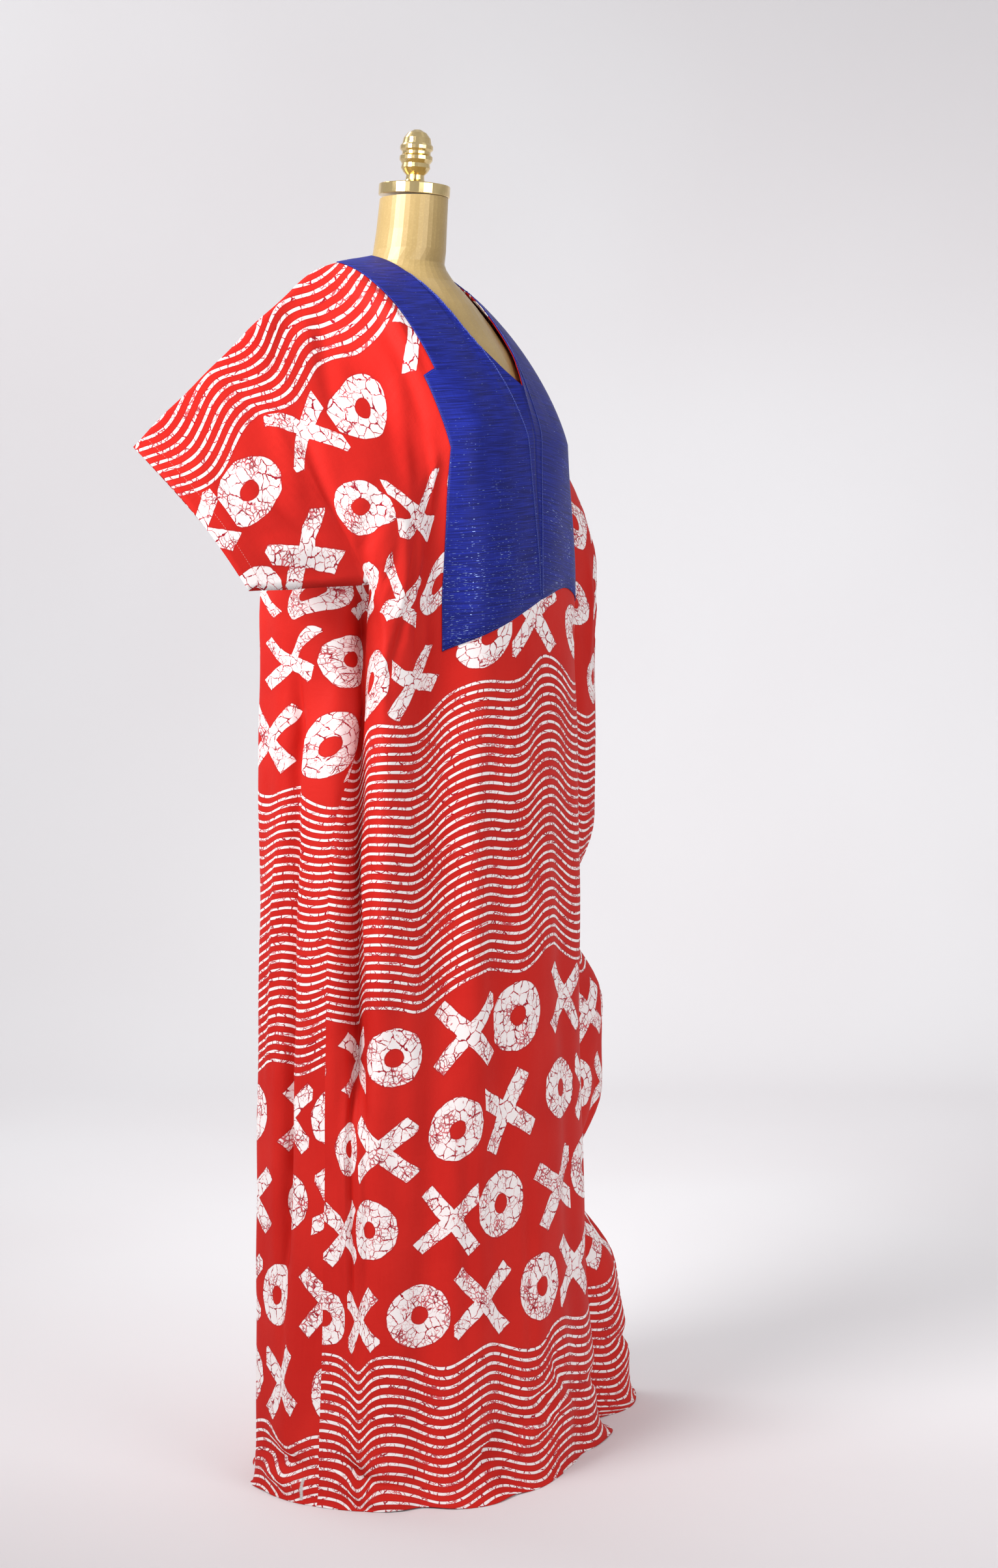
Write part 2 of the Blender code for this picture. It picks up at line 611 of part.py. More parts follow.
def form_torso(collection, finish):
    turn = np.linspace(0, 2 * math.pi, FORM_SIDES, endpoint=False)
    rings = []
    for row in FORM_RINGS:
        ring = dict(zip(FORM_COLUMNS, row))
        depth = np.where(np.sin(turn) < 0, ring["front"], ring["back"])
        reach = 1 / np.hypot(np.cos(turn) / ring["half_width"], np.sin(turn) / depth)
        if SHOULDERS_FOOT < ring["z"] <= SHOULDERS_TOP:
            reach = np.maximum(reach, shoulder_reach(ring["z"], ring["y"], turn))
        x = reach * np.cos(turn)
        y = ring["y"] + reach * np.sin(turn)
        rings.append(np.stack([x, y, np.full(FORM_SIDES, ring["z"])], -1))
    mesh = loft("form_torso", rings)
    mesh.shade_smooth()
    mesh.set_sharp_from_angle(angle=math.radians(50))
    return add(collection, "form_torso", mesh, finish)


def disc(name, radius, height, sides):
    mesh = bpy.data.meshes.new(name)
    work = bmesh.new()
    bmesh.ops.create_cone(
        work,
        cap_ends=True,
        segments=sides,
        radius1=radius,
        radius2=radius,
        depth=height,
        matrix=Matrix.Translation((0, 0, height / 2)),
    )
    work.to_mesh(mesh)
    work.free()
    return mesh


def add_round(collection, name, radius, height, at, finish, sides=40, bevel=0.0):
    """An upright cylinder whose lower face is centred at "at"."""
    made = add(collection, name, disc(name, radius, height, sides), finish)
    made.location = at
    if bevel:
        edge = made.modifiers.new("rounded_edge", "BEVEL")
        edge.width = bevel
        edge.segments = 2
        edge.limit_method = "ANGLE"
    return made


def finial(collection, finish):
    """A turned knob: its profile runs down the outside and is turned about its own axis."""
    heights = column(FINIAL, FINIAL_COLUMNS, "height")
    radii = column(FINIAL, FINIAL_COLUMNS, "radius")
    profile = [(0.0, 0.0, heights[-1] + FINIAL_TIP)]
    profile += [(r, 0.0, h) for h, r in zip(heights[::-1], radii[::-1])]
    profile.append((0.0, 0.0, heights[0]))
    mesh = bpy.data.meshes.new("form_finial")
    mesh.from_pydata(profile, [(i, i + 1) for i in range(len(profile) - 1)], [])
    made = add(collection, "form_finial", mesh, finish)
    turned = made.modifiers.new("turned", "SCREW")
    turned.steps = turned.render_steps = 28
    turned.use_merge_vertices = True
    turned.merge_threshold = 0.0001
    return made


def lean(parts, foot):
    """Tilts parts forward about a point on the form's axis."""
    tilt = (
        Matrix.Translation(foot) @ Matrix.Rotation(NECK_LEAN, 4, "X") @ Matrix.Translation(-foot)
    )
    for part in parts:
        part.matrix_world = tilt @ Matrix.Translation(part.location)


def dress_form(collection):
    paint = material("gold_paint", GOLD_PAINT, 0.35, 0.0)
    metal = material("polished_gold", GOLD_METAL, 0.12, 1.0)
    steel = material("stand_metal", STAND_METAL, 0.3, 1.0)
    form_torso(collection, paint)
    neck_top = Vector((0, FORM_RINGS[-1][4], FORM_RINGS[-1][0]))
    cap_foot = neck_top + Vector((0, 0, CAP_CLEARANCE))
    cap = add_round(
        collection, "form_neck_cap", CAP_RADIUS, CAP_HEIGHT, cap_foot, metal, 48, 0.0012
    )
    knob = finial(collection, metal)
    knob.location = cap_foot + Vector((0, 0, CAP_HEIGHT + GAP))
    lean((cap, knob), cap_foot)
    torso_foot = FORM_RINGS[0][0]
    collar_z = torso_foot - GAP - COLLAR_HEIGHT
    add_round(collection, "stand_collar", COLLAR_RADIUS, COLLAR_HEIGHT, (0, 0, collar_z), steel)
    pole_foot = BASE_THICK + GAP
    pole_height = collar_z - GAP - pole_foot
    add_round(collection, "stand_pole", POLE_RADIUS, pole_height, (0, 0, pole_foot), steel, 24)
    add_round(
        collection, "stand_base", BASE_RADIUS, BASE_THICK, (0, 0, 0), steel, 48, 0.002
    )


def centre_on_floor(collection):
    """Moves every piece so that the whole bounding box stands centred on the origin."""
    bpy.context.view_layer.update()
    graph = bpy.context.evaluated_depsgraph_get()
    corners = []
    for made in collection.objects:
        evaluated = made.evaluated_get(graph)
        corners += [evaluated.matrix_world @ Vector(c) for c in evaluated.bound_box]
    low = Vector([min(c[i] for c in corners) for i in range(3)])
    high = Vector([max(c[i] for c in corners) for i in range(3)])
    shift = Vector((-(low.x + high.x) / 2, -(low.y + high.y) / 2, -low.z))
    for made in collection.objects:
        made.matrix_world = Matrix.Translation(shift) @ made.matrix_world


def main():
    for old in list(bpy.data.objects):
        bpy.data.objects.remove(old)
    collection = bpy.data.collections.new(COLLECTION)
    bpy.context.scene.collection.children.link(collection)
    cotton = material("printed_cotton", RED, 0.8, 0.0)
    brocade = material("blue_brocade", BLUE, 0.45, 0.2)
    front, grid, keep = robe_panel(collection, "front", cotton)
    robe_panel(collection, "back", cotton)
    normals = vertex_normals(front.data, grid, keep)
    for side in (RIGHT, LEFT):
        bib_half(collection, side, grid, normals, brocade)
    dress_form(collection)
    centre_on_floor(collection)


main()
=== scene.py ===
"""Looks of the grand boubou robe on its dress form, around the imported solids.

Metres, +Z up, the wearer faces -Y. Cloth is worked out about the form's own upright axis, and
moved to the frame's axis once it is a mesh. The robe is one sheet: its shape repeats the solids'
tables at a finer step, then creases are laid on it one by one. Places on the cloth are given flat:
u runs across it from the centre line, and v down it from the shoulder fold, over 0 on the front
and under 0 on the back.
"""

import math

import bpy
import numpy as np
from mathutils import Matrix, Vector

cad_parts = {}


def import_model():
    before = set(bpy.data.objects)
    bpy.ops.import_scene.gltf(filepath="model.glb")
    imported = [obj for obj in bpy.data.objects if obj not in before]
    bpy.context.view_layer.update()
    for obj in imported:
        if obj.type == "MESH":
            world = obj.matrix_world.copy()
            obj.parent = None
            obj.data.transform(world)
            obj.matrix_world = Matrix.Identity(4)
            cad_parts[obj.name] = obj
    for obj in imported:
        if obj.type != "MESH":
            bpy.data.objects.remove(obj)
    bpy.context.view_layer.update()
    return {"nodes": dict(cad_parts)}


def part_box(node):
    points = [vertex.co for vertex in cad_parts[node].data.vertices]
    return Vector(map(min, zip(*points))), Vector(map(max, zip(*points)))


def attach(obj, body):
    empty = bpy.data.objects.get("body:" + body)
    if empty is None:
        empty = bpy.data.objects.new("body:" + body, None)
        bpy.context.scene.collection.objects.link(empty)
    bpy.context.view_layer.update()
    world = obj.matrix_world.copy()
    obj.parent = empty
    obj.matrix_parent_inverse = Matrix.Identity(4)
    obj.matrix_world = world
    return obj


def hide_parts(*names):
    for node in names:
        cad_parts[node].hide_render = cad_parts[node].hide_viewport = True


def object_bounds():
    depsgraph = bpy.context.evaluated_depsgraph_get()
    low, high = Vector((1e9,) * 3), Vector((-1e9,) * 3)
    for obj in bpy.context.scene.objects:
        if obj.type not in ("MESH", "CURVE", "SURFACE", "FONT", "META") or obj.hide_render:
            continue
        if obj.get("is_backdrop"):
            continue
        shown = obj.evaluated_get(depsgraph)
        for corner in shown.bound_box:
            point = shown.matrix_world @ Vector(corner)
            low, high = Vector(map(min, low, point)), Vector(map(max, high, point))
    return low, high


PHOTO_SIZE = (1533, 2408)
RIGHT, LEFT = -1, 1  # the wearer's sides, as signs of x
SIDE_NAMES = {RIGHT: "right", LEFT: "left"}


# ---- tables ----
def through(xs, ys, at):
    """A smooth curve through a table's rows that never swings past them."""
    at = np.clip(np.asarray(at, float), xs[0], xs[-1])
    step = np.diff(xs)
    slope = np.diff(ys) / step
    tangent = np.zeros(len(xs))
    tangent[0], tangent[-1] = slope[0], slope[-1]
    for i in range(1, len(xs) - 1):
        if slope[i - 1] * slope[i] > 0:
            tangent[i] = 2 * slope[i - 1] * slope[i] / (slope[i - 1] + slope[i])
    k = np.clip(np.searchsorted(xs, at, side="right") - 1, 0, len(step) - 1)
    t = (at - xs[k]) / step[k]
    return (
        ys[k] * (1 + 2 * t) * (1 - t) ** 2
        + ys[k + 1] * t * t * (3 - 2 * t)
        + step[k] * t * (1 - t) * (tangent[k] * (1 - t) - tangent[k + 1] * t)
    )


def ease(low, high, at):
    """0 below low, 1 above high, and a smooth rise between."""
    t = np.clip((np.asarray(at, float) - low) / (high - low), 0, 1)
    return t * t * (3 - 2 * t)


class Table:
    """Rows of values under named columns. The first column is the one that curves run along."""

    def __init__(self, names, *rows):
        self.names = names
        self.rows = [dict(zip(names, row)) for row in rows]

    def column(self, name):
        return np.array([row[name] for row in self.rows], float)

    def at(self, name, along):
        """A column's smooth curve."""
        return through(self.column(self.names[0]), self.column(name), along)


# ---- cut of the robe ----
CLOTH_HALF_WIDTH = 0.595  # centre to selvedge, which is the cuff edge
ARMPIT_WIDTH = 0.43  # centre to the column over the armpit
SHEET_THICK = 0.0008
BIB_THICK = 0.0009
LIFT_OFF = 0.0004  # between the robe's sheet and the bib's
FLOOR_Z = SHEET_THICK / 2 + 0.0004  # of the sheet's middle where it lies on the floor
BIB_SEAM_GAP = 0.0003

# The fold of the cloth along the shoulder and the sleeve's top, from the neck to the cuff.
SHOULDER = Table(
    ("along", "x", "y", "z"),
    (0.075, 0.066, 0.022, 1.5720),
    (0.190, 0.182, 0.030, 1.5440),
    (0.265, 0.245, 0.040, 1.5030),
    (0.335, 0.303, 0.050, 1.4600),
    (0.465, 0.396, 0.074, 1.3830),
    (0.595, 0.488, 0.100, 1.3020),
)
# The front neckline from its lowest point up to the shoulder fold.
NECKLINE = Table(
    ("share", "x", "y", "z", "down"),
    (0.00, 0.000, -0.166, 1.398, 0.262),
    (0.25, 0.026, -0.145, 1.424, 0.232),
    (0.50, 0.047, -0.121, 1.455, 0.185),
    (0.75, 0.060, -0.056, 1.530, 0.085),
    (1.00, 0.066, 0.022, 1.572, 0.000),
)
NAPE = (0.0, 0.074, 1.5600)  # middle of the back neckline
NAPE_DOWN = 0.055
CUFF_CORNER = (0.420, -0.020, 1.130)  # where the cuff meets the underarm seam
CUFF_DEEP = 0.225  # shoulder fold to underarm seam at the cuff
ARMPIT_DEEP = 0.320
ARMPIT_Z = 1.140
BUST_ROW_Z = 1.330  # the armpit's row of the grid, at the centre line
BUST_SHARE = 0.30  # of the panel's half width, out to which that row stays so high
SKIRT_END_Z = 0.085  # below this the cloth turns out onto the floor

# The body's outline at each height: half widths to the right and left seams, depths in front
# and behind, and how far in front of the axis the two side seams hang.
SECTIONS = Table(
    ("z", "right", "left", "front", "back", "right_seam", "left_seam"),
    (0.00, 0.262, 0.342, 0.224, 0.160, 0.016, 0.040),
    (0.10, 0.264, 0.304, 0.216, 0.158, 0.020, 0.040),
    (0.35, 0.266, 0.284, 0.206, 0.152, 0.028, 0.045),
    (0.60, 0.267, 0.282, 0.200, 0.146, 0.030, 0.050),
    (0.80, 0.268, 0.282, 0.197, 0.142, 0.036, 0.052),
    (0.95, 0.269, 0.282, 0.195, 0.139, 0.066, 0.056),
    (1.14, 0.269, 0.282, 0.192, 0.138, 0.083, 0.062),
    (1.36, 0.262, 0.272, 0.182, 0.134, 0.090, 0.070),
)
ROUNDNESS = 2.15  # exponent of the outline's curve: 2 is an ellipse
STRAP_DRAW = 0.016  # how far the shoulder fold is drawn in towards the neck under a strap
STRAP_ALONG = 0.168  # distance along the fold where it is drawn in most
STRAP_REACH = 0.065
MOST_CROWDING = 0.42  # how much the columns may crowd at a side seam to lie true at the centre
FOLD_STEEPNESS = 1.2
SHOULDER_END = (0.17, 0.26)  # along the fold, where the cloth leaves the form's shoulder
OVER_SHOULDER = 0.75  # how level the cloth starts off the shoulder
LEVEL_PULL = 0.95
LEVEL_AT_NECKLINE = 0.45  # the same for the columns that start at the front neckline
HANG = {"front": 0.70, "back": 0.85}  # how plumb it arrives at the armpit's row
HANG_PULL = 0.6
HANG_FADE = (0.62, 1.00)  # shares of the panel's half width where that gives way to the side
SLEEVE_START = (0.24, 0.42)  # along the fold, where the puff sets in
CUFF_SLACK = 0.35  # how much less of the puff is left at the cuff
CUFF_TUCK = 0.020  # how much less far out the back layer reaches, halfway down the cuff
PUFF = {RIGHT: 0.30, LEFT: 0.40}  # how far a sleeve's layers stand apart, as a share of its depth

# Folds that run down the cloth. "top" and "foot" are distances along the outline from the
# centre front at the fold's two ends, and depth is outwards. A fold fades over "fade" at each
# end, unless it runs into the hem.
FOLDS = Table(
    ("side", "top", "foot", "depth", "width", "z_top", "z_foot", "fade"),
    # front, right side
    (RIGHT, 0.180, 0.190, -0.026, 0.036, 1.34, 0.55, 0.20),
    (RIGHT, 0.262, 0.280, +0.014, 0.026, 1.26, 0.60, 0.12),
    (RIGHT, 0.296, 0.310, -0.050, 0.016, 1.12, 0.50, 0.12),
    (RIGHT, 0.085, 0.110, -0.010, 0.030, 0.80, 0.00, 0.30),
    (RIGHT, 0.205, 0.235, -0.014, 0.026, 0.55, 0.00, 0.25),
    # front, left side
    (LEFT, 0.192, 0.232, -0.042, 0.028, 1.36, 0.00, 0.14),
    (LEFT, 0.305, 0.320, +0.076, 0.048, 1.46, 0.74, 0.16),
    (LEFT, 0.315, 0.325, +0.092, 0.044, 0.63, 0.36, 0.16),
    (LEFT, 0.320, 0.325, +0.092, 0.048, 0.26, 0.00, 0.16),
    (LEFT, 0.060, 0.080, -0.008, 0.032, 0.90, 0.00, 0.30),
    # back, from the right side round to the middle
    (RIGHT, 0.385, 0.415, -0.020, 0.011, 1.02, 0.30, 0.14),
    (RIGHT, 0.475, 0.490, +0.010, 0.026, 1.20, 0.00, 0.20),
    (RIGHT, 0.520, 0.515, -0.028, 0.020, 1.26, 0.00, 0.20),
    (RIGHT, 0.625, 0.610, -0.022, 0.024, 1.10, 0.00, 0.25),
    # back, from the left side round to the middle
    (LEFT, 0.420, 0.430, -0.026, 0.015, 1.00, 0.20, 0.16),
    (LEFT, 0.510, 0.530, -0.030, 0.020, 1.22, 0.00, 0.20),
    (LEFT, 0.585, 0.590, +0.010, 0.028, 1.05, 0.00, 0.25),
    (LEFT, 0.650, 0.670, -0.022, 0.026, 1.16, 0.00, 0.25),
)
# How far the hem lies out on the floor at places round the robe.
POOL_LEAST = 0.008
POOLS = Table(
    ("panel", "side", "at", "width", "out"),
    ("front", RIGHT, 0.12, 0.09, 0.016),
    ("front", LEFT, 0.16, 0.07, 0.038),
    ("front", LEFT, 0.40, 0.08, 0.030),
    ("back", LEFT, 0.40, 0.08, 0.030),
    ("back", LEFT, 0.20, 0.09, 0.016),
    ("back", RIGHT, 0.06, 0.12, 0.014),
)
# Height of the bib's lower edge, by share of the bib's half width.
BIB_FOOT = Table(
    ("share", "right", "left"),
    (0.0, 1.122, 1.122),
    (0.35, 1.098, 1.138),
    (1.0, 1.056, 1.080),
)

# ---- grid: the solids' own counts, and how many finer steps each one takes here ----
FINER = 4
BODY_COLUMNS = 23 * FINER  # from the centre line to the side seam
SLEEVE_COLUMNS = 5 * FINER
NECK_COLUMNS = 4 * FINER  # of those, the ones that start at the neckline
YOKE_ROWS = 7 * FINER
CREST_CROWDING = 1.3  # over 1, the yoke's rows crowd towards the shoulder fold
SKIRT_ROWS = 17 * FINER
HEM_ROWS = 12
BIB_COLUMNS = 10 * FINER  # body columns under each half of the bib
BIB_STRAP_COLUMNS = 9 * FINER  # and under the strap over the shoulder, down to a notch
BIB_NOTCH_ROW = 5 * FINER
BIB_SKIRT_ROWS = 4 * FINER  # rows of the bib below the armpit's row
BIB_FOOT_SPREAD = 2.5 * FINER  # rows over which the skirt's rows follow the bib's foot
BIB_FOOT_END = 0.8  # share of the panel's half width where they no longer do

# How far the cloth's rows have sunk below the level of the centre line, where a ridge of the
# front and the side seam hang from the shoulder.
SINKS = Table(
    ("z", "ridge", "front_seam", "back_seam"),
    (0.18, 0.000, 0.000, 0.000),
    (0.60, 0.050, 0.070, 0.020),
    (0.985, 0.065, 0.140, 0.090),
    (1.17, 0.136, 0.200, 0.170),
    (1.36, 0.150, 0.220, 0.200),
)
RIDGE_SHARE = 0.55  # of the panel's half width
RIDGE_STEEPNESS = 1.5
BACK_RIDGE = 0.8  # of the front's ridge
FRONT_LEVEL = 1.66  # v of the centre front is this less its height
BACK_LEVEL = 1.63
HEM_WIDTH = 0.50  # u of the side seam at the hem

# ---- creases ----
# A crease runs from one place on the flat cloth to another, bowed sideways in its middle.
# Depth is outwards: under 0 it is a trough.
CREASES = Table(
    ("u", "v", "to_u", "to_v", "bow", "depth", "width"),
    # pull lines from the right shoulder, by the strap
    (-0.200, 0.004, -0.192, 0.165, -0.012, +0.0130, 0.012),
    (-0.176, 0.085, -0.180, 0.180, +0.002, -0.0060, 0.009),
    (-0.225, 0.030, -0.330, 0.160, +0.012, -0.0060, 0.012),
    (-0.200, 0.120, -0.285, 0.270, +0.010, +0.0060, 0.011),
    (-0.190, 0.060, -0.232, 0.270, -0.004, -0.0058, 0.010),
    (-0.212, 0.170, -0.232, 0.330, -0.004, +0.0050, 0.010),
    (-0.235, 0.008, -0.420, 0.095, +0.010, -0.0026, 0.013),
    (-0.215, -0.020, -0.330, -0.110, -0.010, -0.0030, 0.011),
    (-0.190, -0.030, -0.240, -0.180, -0.006, +0.0026, 0.010),
    # right sleeve, front
    (-0.350, 0.090, -0.430, 0.295, +0.012, -0.0080, 0.016),
    (-0.400, 0.060, -0.500, 0.225, -0.010, +0.0056, 0.016),
    (-0.500, 0.110, -0.455, 0.270, +0.006, -0.0056, 0.011),
    (-0.535, 0.030, -0.565, 0.215, +0.008, +0.0030, 0.016),
    (-0.440, 0.292, -0.575, 0.208, -0.004, -0.0070, 0.009),
    (-0.445, 0.266, -0.560, 0.188, +0.004, +0.0050, 0.009),
    # right side of the front, from under the arm
    (-0.425, 0.310, -0.300, 0.205, +0.012, -0.0090, 0.012),
    (-0.420, 0.335, -0.300, 0.325, +0.014, -0.0078, 0.011),
    (-0.415, 0.350, -0.330, 0.470, -0.012, -0.0062, 0.011),
    (-0.300, 0.240, -0.262, 0.540, +0.010, +0.0056, 0.013),
    (-0.262, 0.280, -0.328, 0.570, -0.010, -0.0092, 0.010),
    (-0.236, 0.330, -0.250, 0.600, +0.006, -0.0058, 0.011),
    (-0.325, 0.440, -0.300, 0.640, +0.004, +0.0048, 0.008),
    # right front below the bib
    (-0.300, 0.640, -0.215, 0.860, -0.018, -0.0046, 0.016),
    (-0.345, 0.700, -0.310, 1.020, +0.008, +0.0040, 0.010),
    (-0.215, 0.480, -0.235, 0.980, +0.010, -0.0042, 0.024),
    (-0.155, 0.640, -0.175, 1.220, -0.010, +0.0034, 0.026),
    (-0.085, 0.560, -0.120, 1.180, +0.012, -0.0040, 0.020),
    (-0.040, 0.600, -0.060, 1.020, -0.006, +0.0030, 0.016),
    (-0.260, 0.900, -0.290, 1.420, +0.014, -0.0052, 0.018),
    (-0.180, 1.120, -0.200, 1.560, -0.008, -0.0048, 0.016),
    (-0.110, 1.180, -0.095, 1.540, +0.008, +0.0038, 0.018),
    (-0.055, 1.220, -0.075, 1.600, -0.006, -0.0050, 0.014),
    (-0.350, 1.000, -0.360, 1.480, -0.010, -0.0050, 0.015),
    (-0.405, 0.960, -0.420, 1.560, +0.006, -0.0052, 0.011),
    (-0.440, 0.930, -0.455, 1.540, -0.004, +0.0046, 0.009),
    # where the hem settles on the floor
    (-0.500, 1.596, -0.255, 1.640, +0.004, -0.0200, 0.010),
    (-0.500, 1.624, -0.230, 1.660, +0.004, +0.0120, 0.010),
    (-0.210, 1.640, +0.020, 1.545, -0.014, -0.0160, 0.010),
    (-0.130, 1.630, +0.055, 1.568, -0.012, +0.0110, 0.009),
    (-0.010, 1.500, +0.090, 1.605, +0.012, -0.0120, 0.011),
    (+0.060, 1.560, +0.260, 1.612, +0.012, -0.0130, 0.011),
    (+0.200, 1.590, +0.420, 1.585, -0.012, -0.0120, 0.012),
    # left front
    (+0.195, 0.020, +0.300, 0.160, -0.010, -0.0030, 0.010),
    (+0.190, 0.040, +0.235, 0.240, +0.006, +0.0028, 0.011),
    (+0.240, 0.010, +0.430, 0.110, -0.010, -0.0028, 0.013),
    (+0.345, 0.100, +0.430, 0.280, -0.010, -0.0048, 0.017),
    (+0.410, 0.070, +0.520, 0.210, +0.010, +0.0036, 0.016),
    (+0.455, 0.290, +0.570, 0.208, +0.006, -0.0042, 0.010),
    (+0.425, 0.315, +0.300, 0.230, -0.010, -0.0058, 0.012),
    (+0.420, 0.340, +0.290, 0.370, -0.012, -0.0050, 0.012),
    (+0.410, 0.355, +0.330, 0.500, +0.012, -0.0060, 0.011),
    (+0.290, 0.300, +0.255, 0.600, -0.010, +0.0050, 0.013),
    (+0.230, 0.420, +0.240, 0.760, +0.006, -0.0044, 0.015),
    (+0.060, 0.620, +0.075, 1.150, -0.008, -0.0040, 0.018),
    (+0.130, 0.560, +0.120, 0.980, +0.010, +0.0036, 0.020),
    (+0.335, 0.640, +0.350, 1.180, -0.008, -0.0048, 0.014),
    (+0.395, 0.780, +0.420, 1.400, +0.010, +0.0042, 0.013),
    (+0.150, 1.100, +0.180, 1.540, -0.008, -0.0048, 0.016),
    (+0.300, 1.080, +0.320, 1.560, +0.010, -0.0046, 0.016),
    # right side and back of the right half
    (-0.425, -0.330, -0.310, -0.235, -0.012, -0.0058, 0.012),
    (-0.420, -0.350, -0.330, -0.460, +0.012, -0.0050, 0.014),
    (-0.465, -0.470, -0.450, -0.860, -0.008, -0.0050, 0.013),
    (-0.400, -0.420, -0.315, -0.760, +0.016, -0.0044, 0.022),
    (-0.335, -0.700, -0.330, -1.140, -0.004, +0.0046, 0.007),
    (-0.350, -0.720, -0.348, -1.120, -0.004, -0.0040, 0.008),
    (-0.445, -0.800, -0.448, -1.180, +0.004, +0.0042, 0.007),
    (-0.385, -0.980, -0.400, -1.520, -0.008, -0.0044, 0.018),
    (-0.300, -0.620, -0.290, -1.060, +0.010, -0.0040, 0.016),
    (-0.260, -1.020, -0.280, -1.560, -0.010, +0.0040, 0.018),
    (-0.505, -1.586, -0.330, -1.570, -0.004, -0.0180, 0.010),
    (-0.505, -1.612, -0.320, -1.596, -0.004, +0.0110, 0.010),
    (-0.320, -1.600, -0.200, -1.610, -0.004, -0.0085, 0.012),
    (-0.200, -0.160, -0.240, -0.520, +0.012, -0.0048, 0.018),
    (-0.130, -0.240, -0.150, -0.900, -0.010, +0.0040, 0.022),
    (-0.070, -0.300, -0.085, -0.980, +0.010, -0.0044, 0.020),
    (-0.170, -0.800, -0.165, -1.460, +0.012, -0.0050, 0.018),
    (-0.060, -1.050, -0.040, -1.580, -0.008, +0.0038, 0.018),
    (-0.250, -1.590, +0.020, -1.580, +0.012, -0.0080, 0.012),
    (-0.350, -0.100, -0.430, -0.285, -0.012, -0.0050, 0.018),
    (-0.410, -0.060, -0.520, -0.205, +0.008, +0.0034, 0.016),
    (-0.460, -0.285, -0.570, -0.210, +0.006, -0.0042, 0.010),
    # back of the left half
    (+0.200, -0.025, +0.310, -0.140, +0.008, -0.0030, 0.011),
    (+0.345, -0.090, +0.425, -0.290, +0.012, -0.0048, 0.018),
    (+0.420, -0.060, +0.530, -0.200, -0.010, +0.0034, 0.016),
    (+0.425, -0.330, +0.300, -0.250, +0.012, -0.0056, 0.012),
    (+0.420, -0.350, +0.310, -0.450, -0.014, -0.0052, 0.013),
    (+0.460, -0.480, +0.445, -0.900, +0.008, -0.0048, 0.014),
    (+0.395, -0.440, +0.330, -0.820, -0.012, +0.0042, 0.018),
    (+0.210, -0.180, +0.225, -0.600, -0.010, -0.0046, 0.018),
    (+0.120, -0.220, +0.140, -0.860, +0.010, +0.0040, 0.022),
    (+0.030, -0.320, +0.020, -1.020, -0.012, -0.0046, 0.020),
    (+0.290, -0.700, +0.300, -1.240, +0.010, -0.0048, 0.017),
    (+0.180, -0.820, +0.170, -1.500, -0.010, -0.0044, 0.018),
    (+0.090, -1.000, +0.110, -1.560, +0.008, +0.0040, 0.018),
    (+0.400, -1.000, +0.420, -1.540, -0.008, -0.0046, 0.016),
    (+0.040, -1.595, +0.260, -1.590, -0.012, -0.0080, 0.012),
    (+0.240, -1.600, +0.470, -1.580, +0.010, -0.0082, 0.012),
)
RIPPLE_HEIGHT = 0.0011  # of the small unevenness all over the cloth
SEAM_DIP = 0.0014  # how far the side seams draw the cloth in
SEAM_DIP_WIDTH = 0.006
SEAM_DIP_FADE = 0.05  # down from the armpit
ON_FORM_ACROSS = (0.24, 0.17)  # u and v between which the form's shoulder comes under the cloth
ON_FORM_DOWN = (0.10, 0.04)
ON_FORM_KEPT = 0.5  # share of a ridge that is left there, where no trough fits


# ---- stitches, in metres and by their places on the cloth ----
# Pace is from one stitch to the next, and slant is how far its ends lie to either side.
STITCH_COLUMNS = ("pace", "length", "radius", "slant")
STITCHES = {
    "edge": (0.0026, 0.0020, 0.00022, 0.0004),
    "ridge": (0.0040, 0.0044, 0.00070, 0.0),
    "beside": (0.0030, 0.0022, 0.00024, 0.0),
    "cuff": (0.0032, 0.0021, 0.00028, 0.0),
    "tack": (0.0014, 0.0016, 0.00040, 0.0022),
    "loose": (0.0030, 0.0032, 0.00035, 0.0),
}
# flat places on the right half of the back, where the hem is tacked by hand
TACK = (
    ("tack", ((0.4775, 1.600), (0.4745, 1.630))),
    ("tack", ((0.4765, 1.601), (0.4735, 1.629))),
    ("loose", ((0.4775, 1.600), (0.4610, 1.606))),
    ("loose", ((0.4610, 1.606), (0.4600, 1.617))),
)
ROD_SIDES = 4  # of a stitch's cross-section
SEAM_STEPS = 60  # points that a line of stitches is laid through
CUFF_STEPS = 40
TACK_STEPS = 12
ROD_RINGS = Table(
    ("along", "thick", "rise"),
    (0.00, 0.35, 0.0),
    (0.22, 1.00, 0.6),
    (0.78, 1.00, 0.6),
    (1.00, 0.35, 0.0),
)
FLAT_TRIES = 6  # rounds of looking a flat place up in a grid
EDGE_COLUMNS_IN = 0.25  # how far inside the bib's edge its stitches run, in columns
EDGE_ROWS_IN = 0.15  # and in rows
BESIDE_SEAM = 0.0016  # between the bib's seam and its stitches
CUFF_HEM = 0.022  # depth of the cuff's hem
# the raised seam of a bib half, which runs beside the neckline and down to the centre
BIB_SEAM = Table(
    ("v", "u"),
    (0.030, 0.0640),
    (0.075, 0.0590),
    (0.127, 0.0515),
    (0.170, 0.0420),
    (0.200, 0.0345),
    (0.224, 0.0300),
    (0.243, 0.0265),
    (0.268, 0.0240),
    (0.300, 0.0225),
    (0.349, 0.0170),
    (0.420, 0.0095),
    (0.490, 0.0035),
    (0.534, 0.0020),
)


# ---- the body's outline with its folds ----
OUTLINE_POINTS = 721
LEVEL_STEP = 0.01


